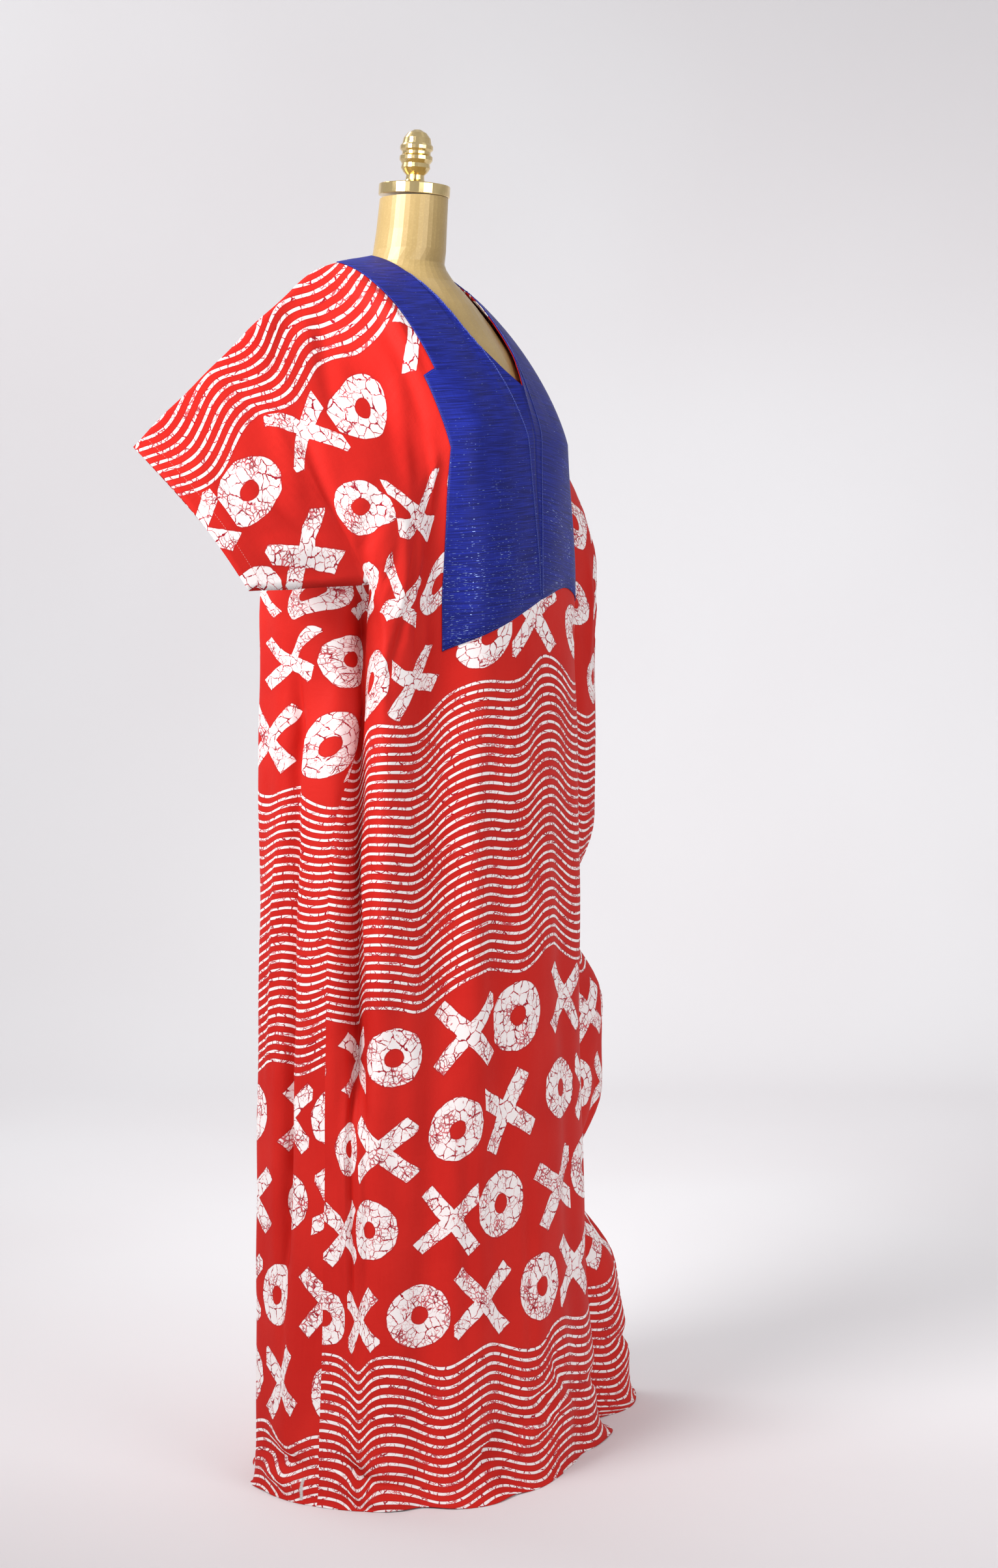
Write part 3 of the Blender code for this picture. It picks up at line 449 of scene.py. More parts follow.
def outline(side, z):
    """Half of the outline at height z, from the centre front round to the centre back.

    Gives x, y, the distance walked, the outward normal and the distance at the side seam.
    """
    turn = np.linspace(0, math.pi, OUTLINE_POINTS)
    half = SECTIONS.at(SIDE_NAMES[side], z)
    depth = np.where(turn < math.pi / 2, SECTIONS.at("front", z), SECTIONS.at("back", z))
    power = 2 / ROUNDNESS
    x = side * half * np.sin(turn).clip(0) ** power
    y = -depth * np.sign(np.cos(turn)) * np.abs(np.cos(turn)) ** power
    walked = np.concatenate([[0], np.cumsum(np.hypot(np.diff(x), np.diff(y)))])
    dx, dy = np.gradient(x, walked), np.gradient(y, walked)
    size = np.hypot(dx, dy)
    normal = np.stack([side * dy / size, -side * dx / size], -1)
    seam_y = -SECTIONS.at(SIDE_NAMES[side] + "_seam", z)
    return x, y, walked, normal, np.interp(seam_y, y, walked)


def fold_strength(fold, z):
    """1 along a fold's run and 0 past its ends."""
    fade = fold["fade"] / 2
    strength = ease(fold["z_top"] + fade, fold["z_top"] - fade, z)
    if fold["z_foot"] > 0:
        strength = strength * ease(fold["z_foot"] - fade, fold["z_foot"] + fade, z)
    return strength


def skirt_levels(panel, side, share):
    """Points of one half of a panel at each level and share of its cut width."""
    heights = np.arange(0, SECTIONS.rows[-1]["z"] + LEVEL_STEP / 2, LEVEL_STEP)
    points = np.zeros((len(heights), len(share), 3))
    normals = np.zeros((len(heights), len(share), 2))
    for k, z in enumerate(heights):
        x, y, walked, normal, seam = outline(side, z)
        out = np.zeros_like(walked)
        cloth = walked.copy()
        for fold in FOLDS.rows:
            if fold["side"] != side:
                continue
            fall = np.clip((fold["z_top"] - z) / (fold["z_top"] - fold["z_foot"]), 0, 1)
            away = (walked - fold["top"] - (fold["foot"] - fold["top"]) * fall) / fold["width"]
            out += fold["depth"] * fold_strength(fold, z) * np.exp(-(away**2))
            taken = max(0.0, 2 * abs(fold["depth"]) - FOLD_STEEPNESS * fold["width"])
            cloth += taken * 0.5 * (1 + np.tanh(FOLD_STEEPNESS * away))
        centre = 0 if panel == "front" else -1
        reach = np.interp(seam, walked, cloth) - cloth[centre]
        spare = np.clip(ARMPIT_WIDTH / abs(reach) - 1, 0, MOST_CROWDING)
        wanted = cloth[centre] + reach * (share + spare * share * (1 - share**2))
        points[k, :, 0] = np.interp(wanted, cloth, x + normal[:, 0] * out)
        points[k, :, 1] = np.interp(wanted, cloth, y + normal[:, 1] * out)
        points[k, :, 2] = z
        for axis in (0, 1):
            normals[k, :, axis] = np.interp(wanted, cloth, normal[:, axis])
    return heights, points, normals


def at_height(heights, values, z):
    """Each column's value at its own height z, between the levels."""
    k = np.clip(((z - heights[0]) / LEVEL_STEP).astype(int), 0, len(heights) - 2)
    t = ((z - heights[k]) / LEVEL_STEP)[:, None]
    columns = np.arange(values.shape[1])
    return values[k, columns] * (1 - t) + values[k + 1, columns] * t


# ---- the robe's grid ----
def shoulder_point(side, along):
    """Points of the shoulder fold at distances along it from the centre line."""
    x, y, z = [SHOULDER.at(name, along) for name in "xyz"]
    return np.stack([side * x, y, z], -1)


def neck_edge(panel, side, share):
    """The neckline from its middle (share 0) to the shoulder fold (share 1)."""
    if panel == "front":
        x, y, z = [NECKLINE.at(name, share) for name in "xyz"]
        return np.stack([side * x, y, z], -1)
    middle = np.array(NAPE)
    corner = shoulder_point(side, SHOULDER.rows[0]["along"])
    share = share[:, None]
    line = middle + (corner - middle) * share
    round_nape = np.sqrt(np.clip(1 - share**2, 0, 1))
    line[:, 1:2] = corner[1] + (middle[1] - corner[1]) * round_nape
    return line


def armpit_row_z(share):
    """Height of the row at the armpit: over the bust in the middle, low at the side seam."""
    return ARMPIT_Z + (BUST_ROW_Z - ARMPIT_Z) * (1 - ease(BUST_SHARE, 1.0, share))


def sleeve_facing(side, armpit):
    """The way the sleeve's front layer faces: square to its underarm seam and its fall."""
    corner = np.array(CUFF_CORNER) * (side, 1, 1)
    fall = armpit - shoulder_point(side, ARMPIT_WIDTH)
    facing = np.cross(corner - armpit, fall)
    return facing / np.linalg.norm(facing) * -np.sign(facing[1])


def hermite(start, end, leave, arrive, t):
    t = t[:, None, None]
    return (
        start * (1 + 2 * t) * (1 - t) ** 2
        + end * t * t * (3 - 2 * t)
        + leave * t * (1 - t) ** 2
        - arrive * t * t * (1 - t)
    )


def level_at_neckline():
    """How level each column starts that begins at the front neckline, as the solid's few do."""
    few = NECK_COLUMNS // FINER
    levels = [LEVEL_AT_NECKLINE * (i / few) ** 2 for i in range(few)] + [OVER_SHOULDER]
    at = np.arange(NECK_COLUMNS + 1) / FINER
    return np.interp(at, np.arange(few + 1), levels)[:, None]


def yoke(panel, side, share, under):
    """Rows from the shoulder fold or neckline down to the points "under"."""
    forward = -1.0 if panel == "front" else 1.0
    along = share * ARMPIT_WIDTH
    drawn = STRAP_DRAW * np.exp(-(((along - STRAP_ALONG) / STRAP_REACH) ** 2))
    top = shoulder_point(side, along - drawn)
    top[:NECK_COLUMNS] = neck_edge(panel, side, np.arange(NECK_COLUMNS) / NECK_COLUMNS)
    top[NECK_COLUMNS] = shoulder_point(side, SHOULDER.rows[0]["along"])
    chord = under - top
    size = np.linalg.norm(chord, axis=1, keepdims=True)
    over_shoulder = OVER_SHOULDER * (1 - ease(*SHOULDER_END, along))[:, None]
    if panel == "front":
        over_shoulder[: NECK_COLUMNS + 1] = level_at_neckline()
    puff = ease(*SLEEVE_START, along)[:, None]
    level = np.array([0.0, forward, 0.0]) * size * LEVEL_PULL
    leave = chord * (1 - over_shoulder) + level * over_shoulder
    bulge = -forward * sleeve_facing(side, under[-1]) * size * PUFF[side] * puff
    leave = leave + bulge
    down = np.array([0.0, 0.0, -1.0]) * size
    hang = HANG[panel] * (1 - ease(*HANG_FADE, share))[:, None]
    arrive = chord * (1 - hang) + down * hang * HANG_PULL - bulge
    rows = np.linspace(0, 1, YOKE_ROWS + 1) ** CREST_CROWDING
    return hermite(top, under, leave, arrive, rows)


def sunk(panel, share, z):
    """How far the cloth at this share and height hangs below its level at the centre line."""
    ridge = SINKS.at("ridge", z)
    seam = SINKS.at(panel + "_seam", z)
    if panel == "back":
        ridge = ridge * BACK_RIDGE
    inner = ridge * np.minimum(share / RIDGE_SHARE, 1) ** RIDGE_STEEPNESS
    outer = (seam - ridge) * np.clip((share - RIDGE_SHARE) / (1 - RIDGE_SHARE), 0, 1)
    return inner + outer


def down_skirt(panel, share, z):
    """v of the cloth at this share and height, without its sign."""
    return (FRONT_LEVEL if panel == "front" else BACK_LEVEL) - z - sunk(panel, share, z)


def down_top(panel, share):
    """v along the neckline and the shoulder fold, without its sign."""
    within = np.minimum(share * BODY_COLUMNS / NECK_COLUMNS, 1)
    if panel == "front":
        return NECKLINE.at("down", within)
    return NAPE_DOWN * np.sqrt(1 - within**2)


def half_panel(panel, side):
    """Points and flat places of one half of a panel: rows down, columns out from the middle."""
    share = np.linspace(0, 1, BODY_COLUMNS + 1)
    heights, points, normals = skirt_levels(panel, side, share)
    row_z = armpit_row_z(share)
    under = at_height(heights, points, row_z)
    rows = list(yoke(panel, side, share, under))
    top, bust = down_top(panel, share), down_skirt(panel, share, row_z)
    falls = np.linspace(0, 1, YOKE_ROWS + 1) ** CREST_CROWDING
    downs = [top + (bust - top) * t for t in falls]
    bib_edge = BIB_COLUMNS / BODY_COLUMNS
    bib_foot = BIB_FOOT.at(SIDE_NAMES[side], np.minimum(share / bib_edge, 1))
    level = row_z + (SKIRT_END_Z - row_z) * BIB_SKIRT_ROWS / SKIRT_ROWS
    lift = (bib_foot - level) * (1 - ease(bib_edge, BIB_FOOT_END, share))
    for j in range(1, SKIRT_ROWS + 1):
        near_foot = math.exp(-(((j - BIB_SKIRT_ROWS) / BIB_FOOT_SPREAD) ** 2))
        z = row_z + (SKIRT_END_Z - row_z) * j / SKIRT_ROWS + lift * near_foot
        rows.append(at_height(heights, points, z))
        downs.append(down_skirt(panel, share, z))
    hem, hem_down = hem_rows(panel, side, share, rows[-1], normals)
    rows += hem
    downs += [downs[-1] + more for more in hem_down]
    rows, downs = np.array(rows), np.array(downs)
    wide = ARMPIT_WIDTH + (HEM_WIDTH - ARMPIT_WIDTH) * ease(ARMPIT_Z, SKIRT_END_Z, rows[:, :, 2])
    return rows, np.stack([side * share * wide, downs], -1)


def hem_rows(panel, side, share, above, normals):
    """The last rows, which turn out and lie on the floor, and how much further down they are.

    A row's way down the cloth is its fall and half of what it has moved out.
    """
    cut = share * ARMPIT_WIDTH
    out = np.full(len(share), POOL_LEAST)
    for pool in POOLS.rows:
        if (pool["panel"], pool["side"]) == (panel, side):
            out += pool["out"] * np.exp(-(((cut - pool["at"]) / pool["width"]) ** 2))
    rows, further = [], []
    for j in range(1, HEM_ROWS + 1):
        t = j / HEM_ROWS
        row = above.copy()
        row[:, :2] += normals[0] * (out * t**2)[:, None]
        row[:, 2] = FLOOR_Z + (above[:, 2] - FLOOR_Z) * (1 - t) ** 2
        rows.append(row)
        further.append(SKIRT_END_Z * (1 - (1 - t) ** 2) + 0.5 * out * t**2)
    return rows, further


def sleeve(panel, side, armpit_column):
    """The sleeve's columns, from the one next to the armpit's out to the cuff."""
    forward = -1.0 if panel == "front" else 1.0
    rows = np.linspace(0, 1, YOKE_ROWS + 1) ** CREST_CROWDING
    armpit = armpit_column[-1]
    corner = np.array(CUFF_CORNER) * (side, 1, 1)
    facing = sleeve_facing(side, armpit)
    columns, flats = [], []
    for i in range(1, SLEEVE_COLUMNS + 1):
        share = i / SLEEVE_COLUMNS
        along = ARMPIT_WIDTH + (CLOTH_HALF_WIDTH - ARMPIT_WIDTH) * share
        top = shoulder_point(side, np.array([along]))
        foot = (armpit + (corner - armpit) * share)[None]
        chord = foot - top
        size = np.linalg.norm(chord, axis=1, keepdims=True)
        bulge = -forward * facing * size * PUFF[side] * (1 - CUFF_SLACK * share)
        line = hermite(top, foot, chord + bulge, chord - bulge, rows)[:, 0]
        if panel == "back":
            outwards = (corner - armpit) / np.linalg.norm(corner - armpit)
            line = line - outwards * (CUFF_TUCK * share**2 * np.sin(math.pi * rows))[:, None]
        columns.append(line)
        deep = ARMPIT_DEEP + (CUFF_DEEP - ARMPIT_DEEP) * share
        flats.append(np.stack([np.full(len(rows), side * along), rows * deep], -1))
    return np.array(columns).transpose(1, 0, 2), np.array(flats).transpose(1, 0, 2)


def panel_grid(panel):
    """Points and flat places of a whole panel. Columns run from the right cuff to the left.

    Below the armpit's row there is no cloth outside the body's columns: those points are nan.
    """
    halves = []
    for side in (RIGHT, LEFT):
        body, flat = half_panel(panel, side)
        cuff, cuff_flat = sleeve(panel, side, body[: YOKE_ROWS + 1, -1])
        below = (len(body) - len(cuff), SLEEVE_COLUMNS)
        cuff = np.concatenate([cuff, np.full((*below, 3), np.nan)])
        cuff_flat = np.concatenate([cuff_flat, np.full((*below, 2), np.nan)])
        halves.append(
            (np.concatenate([body, cuff], axis=1), np.concatenate([flat, cuff_flat], axis=1))
        )
    (right, right_flat), (left, left_flat) = halves
    points = np.concatenate([right[:, :0:-1], left], axis=1)
    flat = np.concatenate([right_flat[:, :0:-1], left_flat], axis=1)
    if panel == "back":
        flat[:, :, 1] *= -1
    return points, flat


def shared_with_front():
    """Which of the back's grid points are the front's own: shoulders, sleeves and side seams."""
    rows = np.arange(YOKE_ROWS + SKIRT_ROWS + HEM_ROWS + 1)[:, None]
    out = np.abs(np.arange(-BODY_COLUMNS - SLEEVE_COLUMNS, BODY_COLUMNS + SLEEVE_COLUMNS + 1))
    shoulder = (rows == 0) & (out >= NECK_COLUMNS)
    underarm = (rows == YOKE_ROWS) & (out >= BODY_COLUMNS)
    seam = (rows > YOKE_ROWS) & (out == BODY_COLUMNS)
    return shoulder | underarm | seam


# ---- laying the creases ----
CREASE_STEPS = 14  # straight pieces that a bowed crease is measured along
CREASE_START = (0.0, 0.3)  # shares of its run over which a crease sets in and fades
CREASE_END = (1.0, 0.6)
CREASE_BANKS = 0.3  # share of its depth that is thrown up along both sides
CREASE_BANKS_WIDE = 2.4  # widths
RIPPLE_DRIFT = 1.5
RIPPLES = Table(
    ("across", "down", "start"),
    (31.0, 7.0, 0.4),
    (-23.0, 13.0, 2.1),
    (47.0, -11.0, 4.0),
    (12.0, 29.0, 1.2),
    (-55.0, -19.0, 3.3),
    (68.0, 25.0, 5.2),
)


def crease_height(flat):
    """How far the creases move each place on the flat cloth outwards."""
    u, v = flat[..., 0], flat[..., 1]
    height = np.zeros(u.shape)
    for crease in CREASES.rows:
        start = np.array([crease["u"], crease["v"]])
        end = np.array([crease["to_u"], crease["to_v"]])
        run = end - start
        across = np.array([-run[1], run[0]]) / np.hypot(*run)
        best = np.full(u.shape, np.inf)
        place = np.zeros(u.shape)
        for k in range(CREASE_STEPS):
            ends = []
            for t in (k / CREASE_STEPS, (k + 1) / CREASE_STEPS):
                ends.append(start + run * t + across * crease["bow"] * 4 * t * (1 - t))
            piece = ends[1] - ends[0]
            du, dv = u - ends[0][0], v - ends[0][1]
            t = np.clip((du * piece[0] + dv * piece[1]) / (piece @ piece), 0, 1)
            away = np.hypot(du - t * piece[0], dv - t * piece[1])
            nearer = away < best
            best = np.where(nearer, away, best)
            place = np.where(nearer, (k + t) / CREASE_STEPS, place)
        fade = ease(*CREASE_START, place) * ease(*CREASE_END, place)
        away = best / crease["width"]
        banks = CREASE_BANKS * np.exp(-((away / CREASE_BANKS_WIDE) ** 2))
        height += crease["depth"] * fade * (np.exp(-(away**2)) - banks)
    for ripple in RIPPLES.rows:
        drift = RIPPLE_DRIFT * np.sin(4.0 * u + 3.0 * v + ripple["start"])
        wave = np.sin(ripple["across"] * u + ripple["down"] * v + drift)
        height += RIPPLE_HEIGHT / math.sqrt(len(RIPPLES.rows)) * wave
    on_form = ease(*ON_FORM_ACROSS, np.abs(u)) * ease(*ON_FORM_DOWN, np.abs(v))
    height = height * (1 - on_form) + np.maximum(height, 0) * on_form * ON_FORM_KEPT
    side = ARMPIT_WIDTH + (HEM_WIDTH - ARMPIT_WIDTH) * ease(ARMPIT_DEEP, FRONT_LEVEL, np.abs(v))
    below_arm = ease(ARMPIT_DEEP, ARMPIT_DEEP + SEAM_DIP_FADE, np.abs(v))
    return height - SEAM_DIP * below_arm * np.exp(-(((np.abs(u) - side) / SEAM_DIP_WIDTH) ** 2))


# ---- meshes ----
def new_object(name, data, *finishes):
    made = bpy.data.objects.new(name, data)
    bpy.context.scene.collection.objects.link(made)
    for finish in finishes:
        data.materials.append(finish)
    return made


def cells_of(numbers, flip):
    """Faces of a grid of vertex numbers, and the grid places of their corners."""
    rows, columns = numbers.shape
    faces, places = [], []
    for j in range(rows - 1):
        for i in range(columns - 1):
            corners = [(j, i), (j + 1, i), (j + 1, i + 1), (j, i + 1)]
            if flip:
                corners.reverse()
            cell = [int(numbers[c]) for c in corners]
            if min(cell) >= 0:
                faces.append(cell)
                places += corners
    return faces, places


def cloth_mesh(name, points, faces, flats):
    mesh = bpy.data.meshes.new(name)
    mesh.from_pydata(points.tolist(), [], faces)
    layer = mesh.uv_layers.new(name="cloth")
    layer.data.foreach_set("uv", np.asarray(flats, np.float32).ravel())
    mesh.shade_smooth()
    mesh.update()
    return mesh


def vertex_normals(mesh):
    found = np.zeros(len(mesh.vertices) * 3, np.float32)
    mesh.vertex_normals.foreach_get("vector", found)
    return found.reshape(-1, 3).astype(float)


def thicken(made, thick):
    shell = made.modifiers.new("thickness", "SOLIDIFY")
    shell.thickness = thick
    shell.offset = 0


def robe_sheet():
    """The robe's joined sheet, and each panel's grid of vertex numbers and flat places."""
    front, front_flat = panel_grid("front")
    back, back_flat = panel_grid("back")
    numbers = np.full(front.shape[:2], -1)
    cloth = ~np.isnan(front[:, :, 0])
    numbers[cloth] = np.arange(cloth.sum())
    shared = shared_with_front() & cloth
    back_numbers = np.full(back.shape[:2], -1)
    back_numbers[shared] = numbers[shared]
    own = cloth & ~shared
    back_numbers[own] = cloth.sum() + np.arange(own.sum())
    points = np.concatenate([front[cloth], back[own]])
    points[numbers[shared]] = (front[shared] + back[shared]) / 2

    heights = np.concatenate([crease_height(front_flat[cloth]), crease_height(back_flat[own])])
    seam_heights = (crease_height(front_flat[shared]) + crease_height(back_flat[shared])) / 2
    heights[numbers[shared]] = seam_heights

    faces, places = cells_of(numbers, flip=False)
    back_faces, back_places = cells_of(back_numbers, flip=True)
    flats = [front_flat[p] for p in places] + [back_flat[p] for p in back_places]
    mesh = cloth_mesh("robe", points, faces + back_faces, flats)
    points = points + vertex_normals(mesh) * heights[:, None]
    points[:, 2] = np.maximum(points[:, 2], FLOOR_Z)
    mesh.vertices.foreach_set("co", points.astype(np.float32).ravel())
    mesh.update()
    return mesh, points, (numbers, front_flat), (back_numbers, back_flat)


def bib_half(side, mesh, points, numbers, flat):
    """One half of the bib: the robe's points under it, moved out. Gives its grid as well."""
    centre = SLEEVE_COLUMNS + BODY_COLUMNS
    rows = YOKE_ROWS + BIB_SKIRT_ROWS + 1
    columns = [centre + side * i for i in range(BIB_COLUMNS + 1)]
    under = numbers[:rows][:, columns]
    outwards = vertex_normals(mesh)[under]
    found = points[under] + outwards * (SHEET_THICK / 2 + LIFT_OFF + BIB_THICK / 2)
    found[:, 0, 0] = side * BIB_SEAM_GAP
    keep = np.ones(under.shape, bool)
    keep[:BIB_NOTCH_ROW, BIB_STRAP_COLUMNS + 1 :] = False
    order = np.where(keep, np.cumsum(keep).reshape(keep.shape) - 1, -1)
    faces, places = cells_of(order, flip=side == RIGHT)
    flats_under = flat[:rows][:, columns]
    name = f"bib_{SIDE_NAMES[side]}_cloth"
    made = cloth_mesh(name, found[keep], faces, [flats_under[p] for p in places])
    outer = np.concatenate([found + outwards * BIB_THICK / 2, outwards], -1)
    return made, outer, flats_under


# ---- threads ----
def at_grid(surface, row, place):
    """A surface's values between the rows and columns of its grid."""
    j = min(int(row), surface.shape[0] - 2)
    i = min(int(place), surface.shape[1] - 2)
    down, over = row - j, place - i
    upper = surface[j, i] * (1 - over) + surface[j, i + 1] * over
    lower = surface[j + 1, i] * (1 - over) + surface[j + 1, i + 1] * over
    return upper * (1 - down) + lower * down


def at_flat(surface, flat, u, v):
    """A surface's values at a flat place. The grid is one half's: u and v grow along it."""
    row = np.interp(v, flat[:, 0, 1], np.arange(len(flat)))
    for _ in range(FLAT_TRIES):
        wide = flat[round(row), :, 0]
        known = ~np.isnan(wide)
        place = np.interp(u, wide[known], np.flatnonzero(known))
        deep = flat[:, round(place), 1]
        known = ~np.isnan(deep)
        row = np.interp(v, deep[known], np.flatnonzero(known))
    return at_grid(surface, row, place)


def paced(line, pace):
    """A line's values at equal steps along it. Its first three columns are the point."""
    steps = np.linalg.norm(np.diff(line[:, :3], axis=0), axis=1)
    gone = np.concatenate([[0], np.cumsum(steps)])
    stops = np.arange(0, gone[-1], pace)
    return np.stack([np.interp(stops, gone, values) for values in line.T], -1)


def rods(starts, stops, outwards, radius):
    """Points and faces of short rods of thread, bowed outwards and thinner at both ends."""
    run = stops - starts
    side = np.cross(run, outwards)
    side /= np.linalg.norm(side, axis=1, keepdims=True)
    up = np.cross(side, run)
    up /= np.linalg.norm(up, axis=1, keepdims=True)
    points = []
    for ring in ROD_RINGS.rows:
        middle = starts + run * ring["along"] + up * radius * ring["rise"]
        for k in range(ROD_SIDES):
            turn = 2 * math.pi * (k + 0.5) / ROD_SIDES
            away = side * math.cos(turn) + up * math.sin(turn)
            points.append(middle + radius * ring["thick"] * away)
    size = len(points)
    one = [tuple(range(ROD_SIDES)), tuple(range(size - 1, size - ROD_SIDES - 1, -1))]
    for ring in range(len(ROD_RINGS.rows) - 1):
        for k in range(ROD_SIDES):
            a, b = ring * ROD_SIDES + k, ring * ROD_SIDES + (k + 1) % ROD_SIDES
            one.append((a, a + ROD_SIDES, b + ROD_SIDES, b))
    faces = []
    for n in range(len(starts)):
        faces += [tuple(n * size + corner for corner in face) for face in one]
    return np.array(points).transpose(1, 0, 2).reshape(-1, 3), faces


def stitched(line, kind):
    """Rods along a line of points and outward directions, as one kind of stitch."""
    stitch = dict(zip(STITCH_COLUMNS, STITCHES[kind]))
    knots = paced(line, stitch["pace"])
    starts, ahead, out = knots[:-1, :3], knots[1:, :3] - knots[:-1, :3], knots[:-1, 3:]
    side = np.cross(ahead, out)
    side /= np.linalg.norm(side, axis=1, keepdims=True)
    stops = starts + ahead * stitch["length"] / stitch["pace"]
    slant = side * stitch["slant"]
    return rods(starts - slant, stops + slant, out, stitch["radius"])


def stitch_object(name, runs, axis, finish):
    """One object of several runs of stitches."""
    points, faces, done = [], [], 0
    for found, cells in runs:
        points.append(found)
        faces += [tuple(corner + done for corner in cell) for cell in cells]
        done += len(found)
    mesh = bpy.data.meshes.new(name)
    mesh.from_pydata(np.concatenate(points).tolist(), [], faces)
    mesh.shade_smooth()
    made = new_object(name, mesh, finish)
    made.location = axis
    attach(made, "root")


def bib_runs(surface, flat):
    """The bib half's stitches: by its outer edge and foot, on its raised seam and beside that."""
    last = len(surface) - 1
    strap, block = BIB_STRAP_COLUMNS - EDGE_COLUMNS_IN, BIB_COLUMNS - EDGE_COLUMNS_IN
    notch, foot = BIB_NOTCH_ROW + EDGE_ROWS_IN, last - EDGE_ROWS_IN
    path = [(j, strap) for j in range(BIB_NOTCH_ROW + 1)] + [(notch, strap), (notch, block)]
    path += [(j, block) for j in range(BIB_NOTCH_ROW + 1, last)]
    path += [(foot, block)] + [(foot, i) for i in range(BIB_COLUMNS - 1, 0, -1)]
    edge = np.array([at_grid(surface, *place) for place in path])
    flat = np.abs(flat)
    deeps = np.linspace(BIB_SEAM.rows[0]["v"], BIB_SEAM.rows[-1]["v"], SEAM_STEPS)
    across = BIB_SEAM.at("u", deeps)
    seam = np.array([at_flat(surface, flat, a, b) for a, b in zip(across, deeps)])
    beside = np.array([at_flat(surface, flat, a + BESIDE_SEAM, b) for a, b in zip(across, deeps)])
    return [stitched(edge, "edge"), stitched(seam, "ridge"), stitched(beside, "beside")]


def half_surface(mesh, points, numbers, flat, side):
    """Points with outward directions, and flat places, of one half of a panel from its middle."""
    normals = vertex_normals(mesh)
    outer = points + normals * SHEET_THICK / 2
    surface = np.concatenate([outer[numbers], normals[numbers]], -1)
    surface[numbers < 0] = np.nan
    half = slice(SLEEVE_COLUMNS + BODY_COLUMNS, None, side)
    return surface[:, half], np.abs(flat)[:, half]


def cuff_run(surface, flat):
    """Stitches down one face of a cuff, from the shoulder fold to the underarm seam."""
    deeps = np.linspace(0, CUFF_DEEP, CUFF_STEPS)
    line = [at_flat(surface, flat, CLOTH_HALF_WIDTH - CUFF_HEM, deep) for deep in deeps]
    return stitched(np.array(line), "cuff")


# ---- looks: colours ----
def srgb(red, green, blue):
    """A colour picked as 0 to 255 values, as the linear light that a shader takes."""
    parts = [c / 255 for c in (red, green, blue)]
    linear = [c / 12.92 if c <= 0.04045 else ((c + 0.055) / 1.055) ** 2.4 for c in parts]
    return (*linear, 1.0)


RED = srgb(200, 30, 22)
RED_WORN = srgb(186, 24, 18)
RED_FAINT = srgb(210, 40, 31)
VEIN = srgb(204, 24, 48)
VEIN_DARK = srgb(158, 20, 38)
PRINT_RIM = srgb(150, 20, 26)
RESIST_WHITE = srgb(246, 238, 237)
BLUE_GROUND = srgb(13, 21, 98)
BLUE_LIGHT = srgb(28, 42, 152)
BLUE_LUREX = srgb(170, 195, 250)
BLUE_THREAD = srgb(70, 84, 178)
COTTON_THREAD = srgb(236, 150, 142)
TACK_THREAD = srgb(240, 236, 232)
THREAD_SHADE = srgb(20, 16, 30)
GOLD_PAINT = srgb(168, 140, 86)
GOLD_PAINT_LIGHT = srgb(184, 156, 102)
GOLD_FLECK = srgb(246, 222, 160)
GOLD_METAL = srgb(240, 214, 156)
STEEL = srgb(176, 172, 166)
METAL_SMEAR = srgb(120, 96, 60)
FLOOR_WHITE = srgb(235, 232, 234)
FLOOR_LIGHT = srgb(239, 238, 240)

# ---- print, in metres on the flat cloth ----
PRINT_REPEAT = 0.86  # down the cloth: a block of rings and crosses, then a band of waves
PRINT_START = 0.14  # v where a block starts
BLOCK_LENGTH = 0.475
MOTIF_ROWS = 4
PRINT_WANDER = 0.004  # how far the print strays from its layout
REST_SPREAD = 0.90  # the print's scale across the cloth
FRONT_SPREAD = 0.80  # the same over the pleats of the right front, which hide some of it
FRONT_SPREAD_DOWN = (0.24, 0.50)  # v and u over which that sets in
FRONT_SPREAD_ACROSS = (-0.02, 0.02)
FRONT_SHIFT = 0.048  # the print's start is this much nearer the shoulder fold in front
BACK_SHIFT = -0.030
SHIFT_PLACES = (-0.55, -0.05, 0.12, 0.60)  # v where the shift sets in and fades
SHIFT_STRETCH = 0.13  # evens out the height of the figures there
SHIFT_STRETCH_FADE = 0.15
SLEEVE_PRINT = (0.27, 0.34)  # u over which the sleeve's own scales set in
SLEEVE_PRINT_FADE = 0.12  # down from the armpit
SLEEVE_SPREAD = 0.80
SLEEVE_SWELL = 0.18  # how much larger the figures are there
SLEEVE_CLOSER = 0.055  # how much nearer the print's rows are brought by the underarm seam
SLEEVE_ROWS_FROM = 0.09  # v from which they are
CLOSER_FADE = (0.36, 0.70)  # v over which they no longer are
STRAP_STRETCH = 0.14  # evens out the height of the figures by the straps
STRAP_START = (0.05, 0.09)  # v over which that sets in and fades
STRAP_END = (0.24, 0.30)
PAIR_PERIOD = 0.185  # across, from one ring and cross to the next
PAIR_SPREAD = 0.0395  # each motif's centre from the middle of its pair
RING_OUTER = 0.0365
RING_HOLE = 0.0115
HOLE_ASIDE = 0.001  # from the ring's middle
RING_TALL = 1.10  # height over width
CROSS_REACH = 0.0550
CROSS_ARM = 0.0108  # half the width of an arm
CROSS_TURN = 0.36  # how far apart the crosses' turns may lie, in radians
CROSS_SKEW = 0.2  # how far their arms may lean
RING_SIZES = (0.94, 0.16)  # least share of its size, and what chance may add
REACH_SIZES = (0.94, 0.12)
ARM_SIZES = (0.88, 0.24)
RING_ROUGH, HOLE_ROUGH, ARM_ROUGH = 0.006, 0.005, 0.004  # how uneven each edge is
MOTIF_SLIP = 0.010
FIRST_ROW_SHIFT = 0.063  # across, of the figures next to the shoulder in front
FIRST_ROW_RISE = 0.014
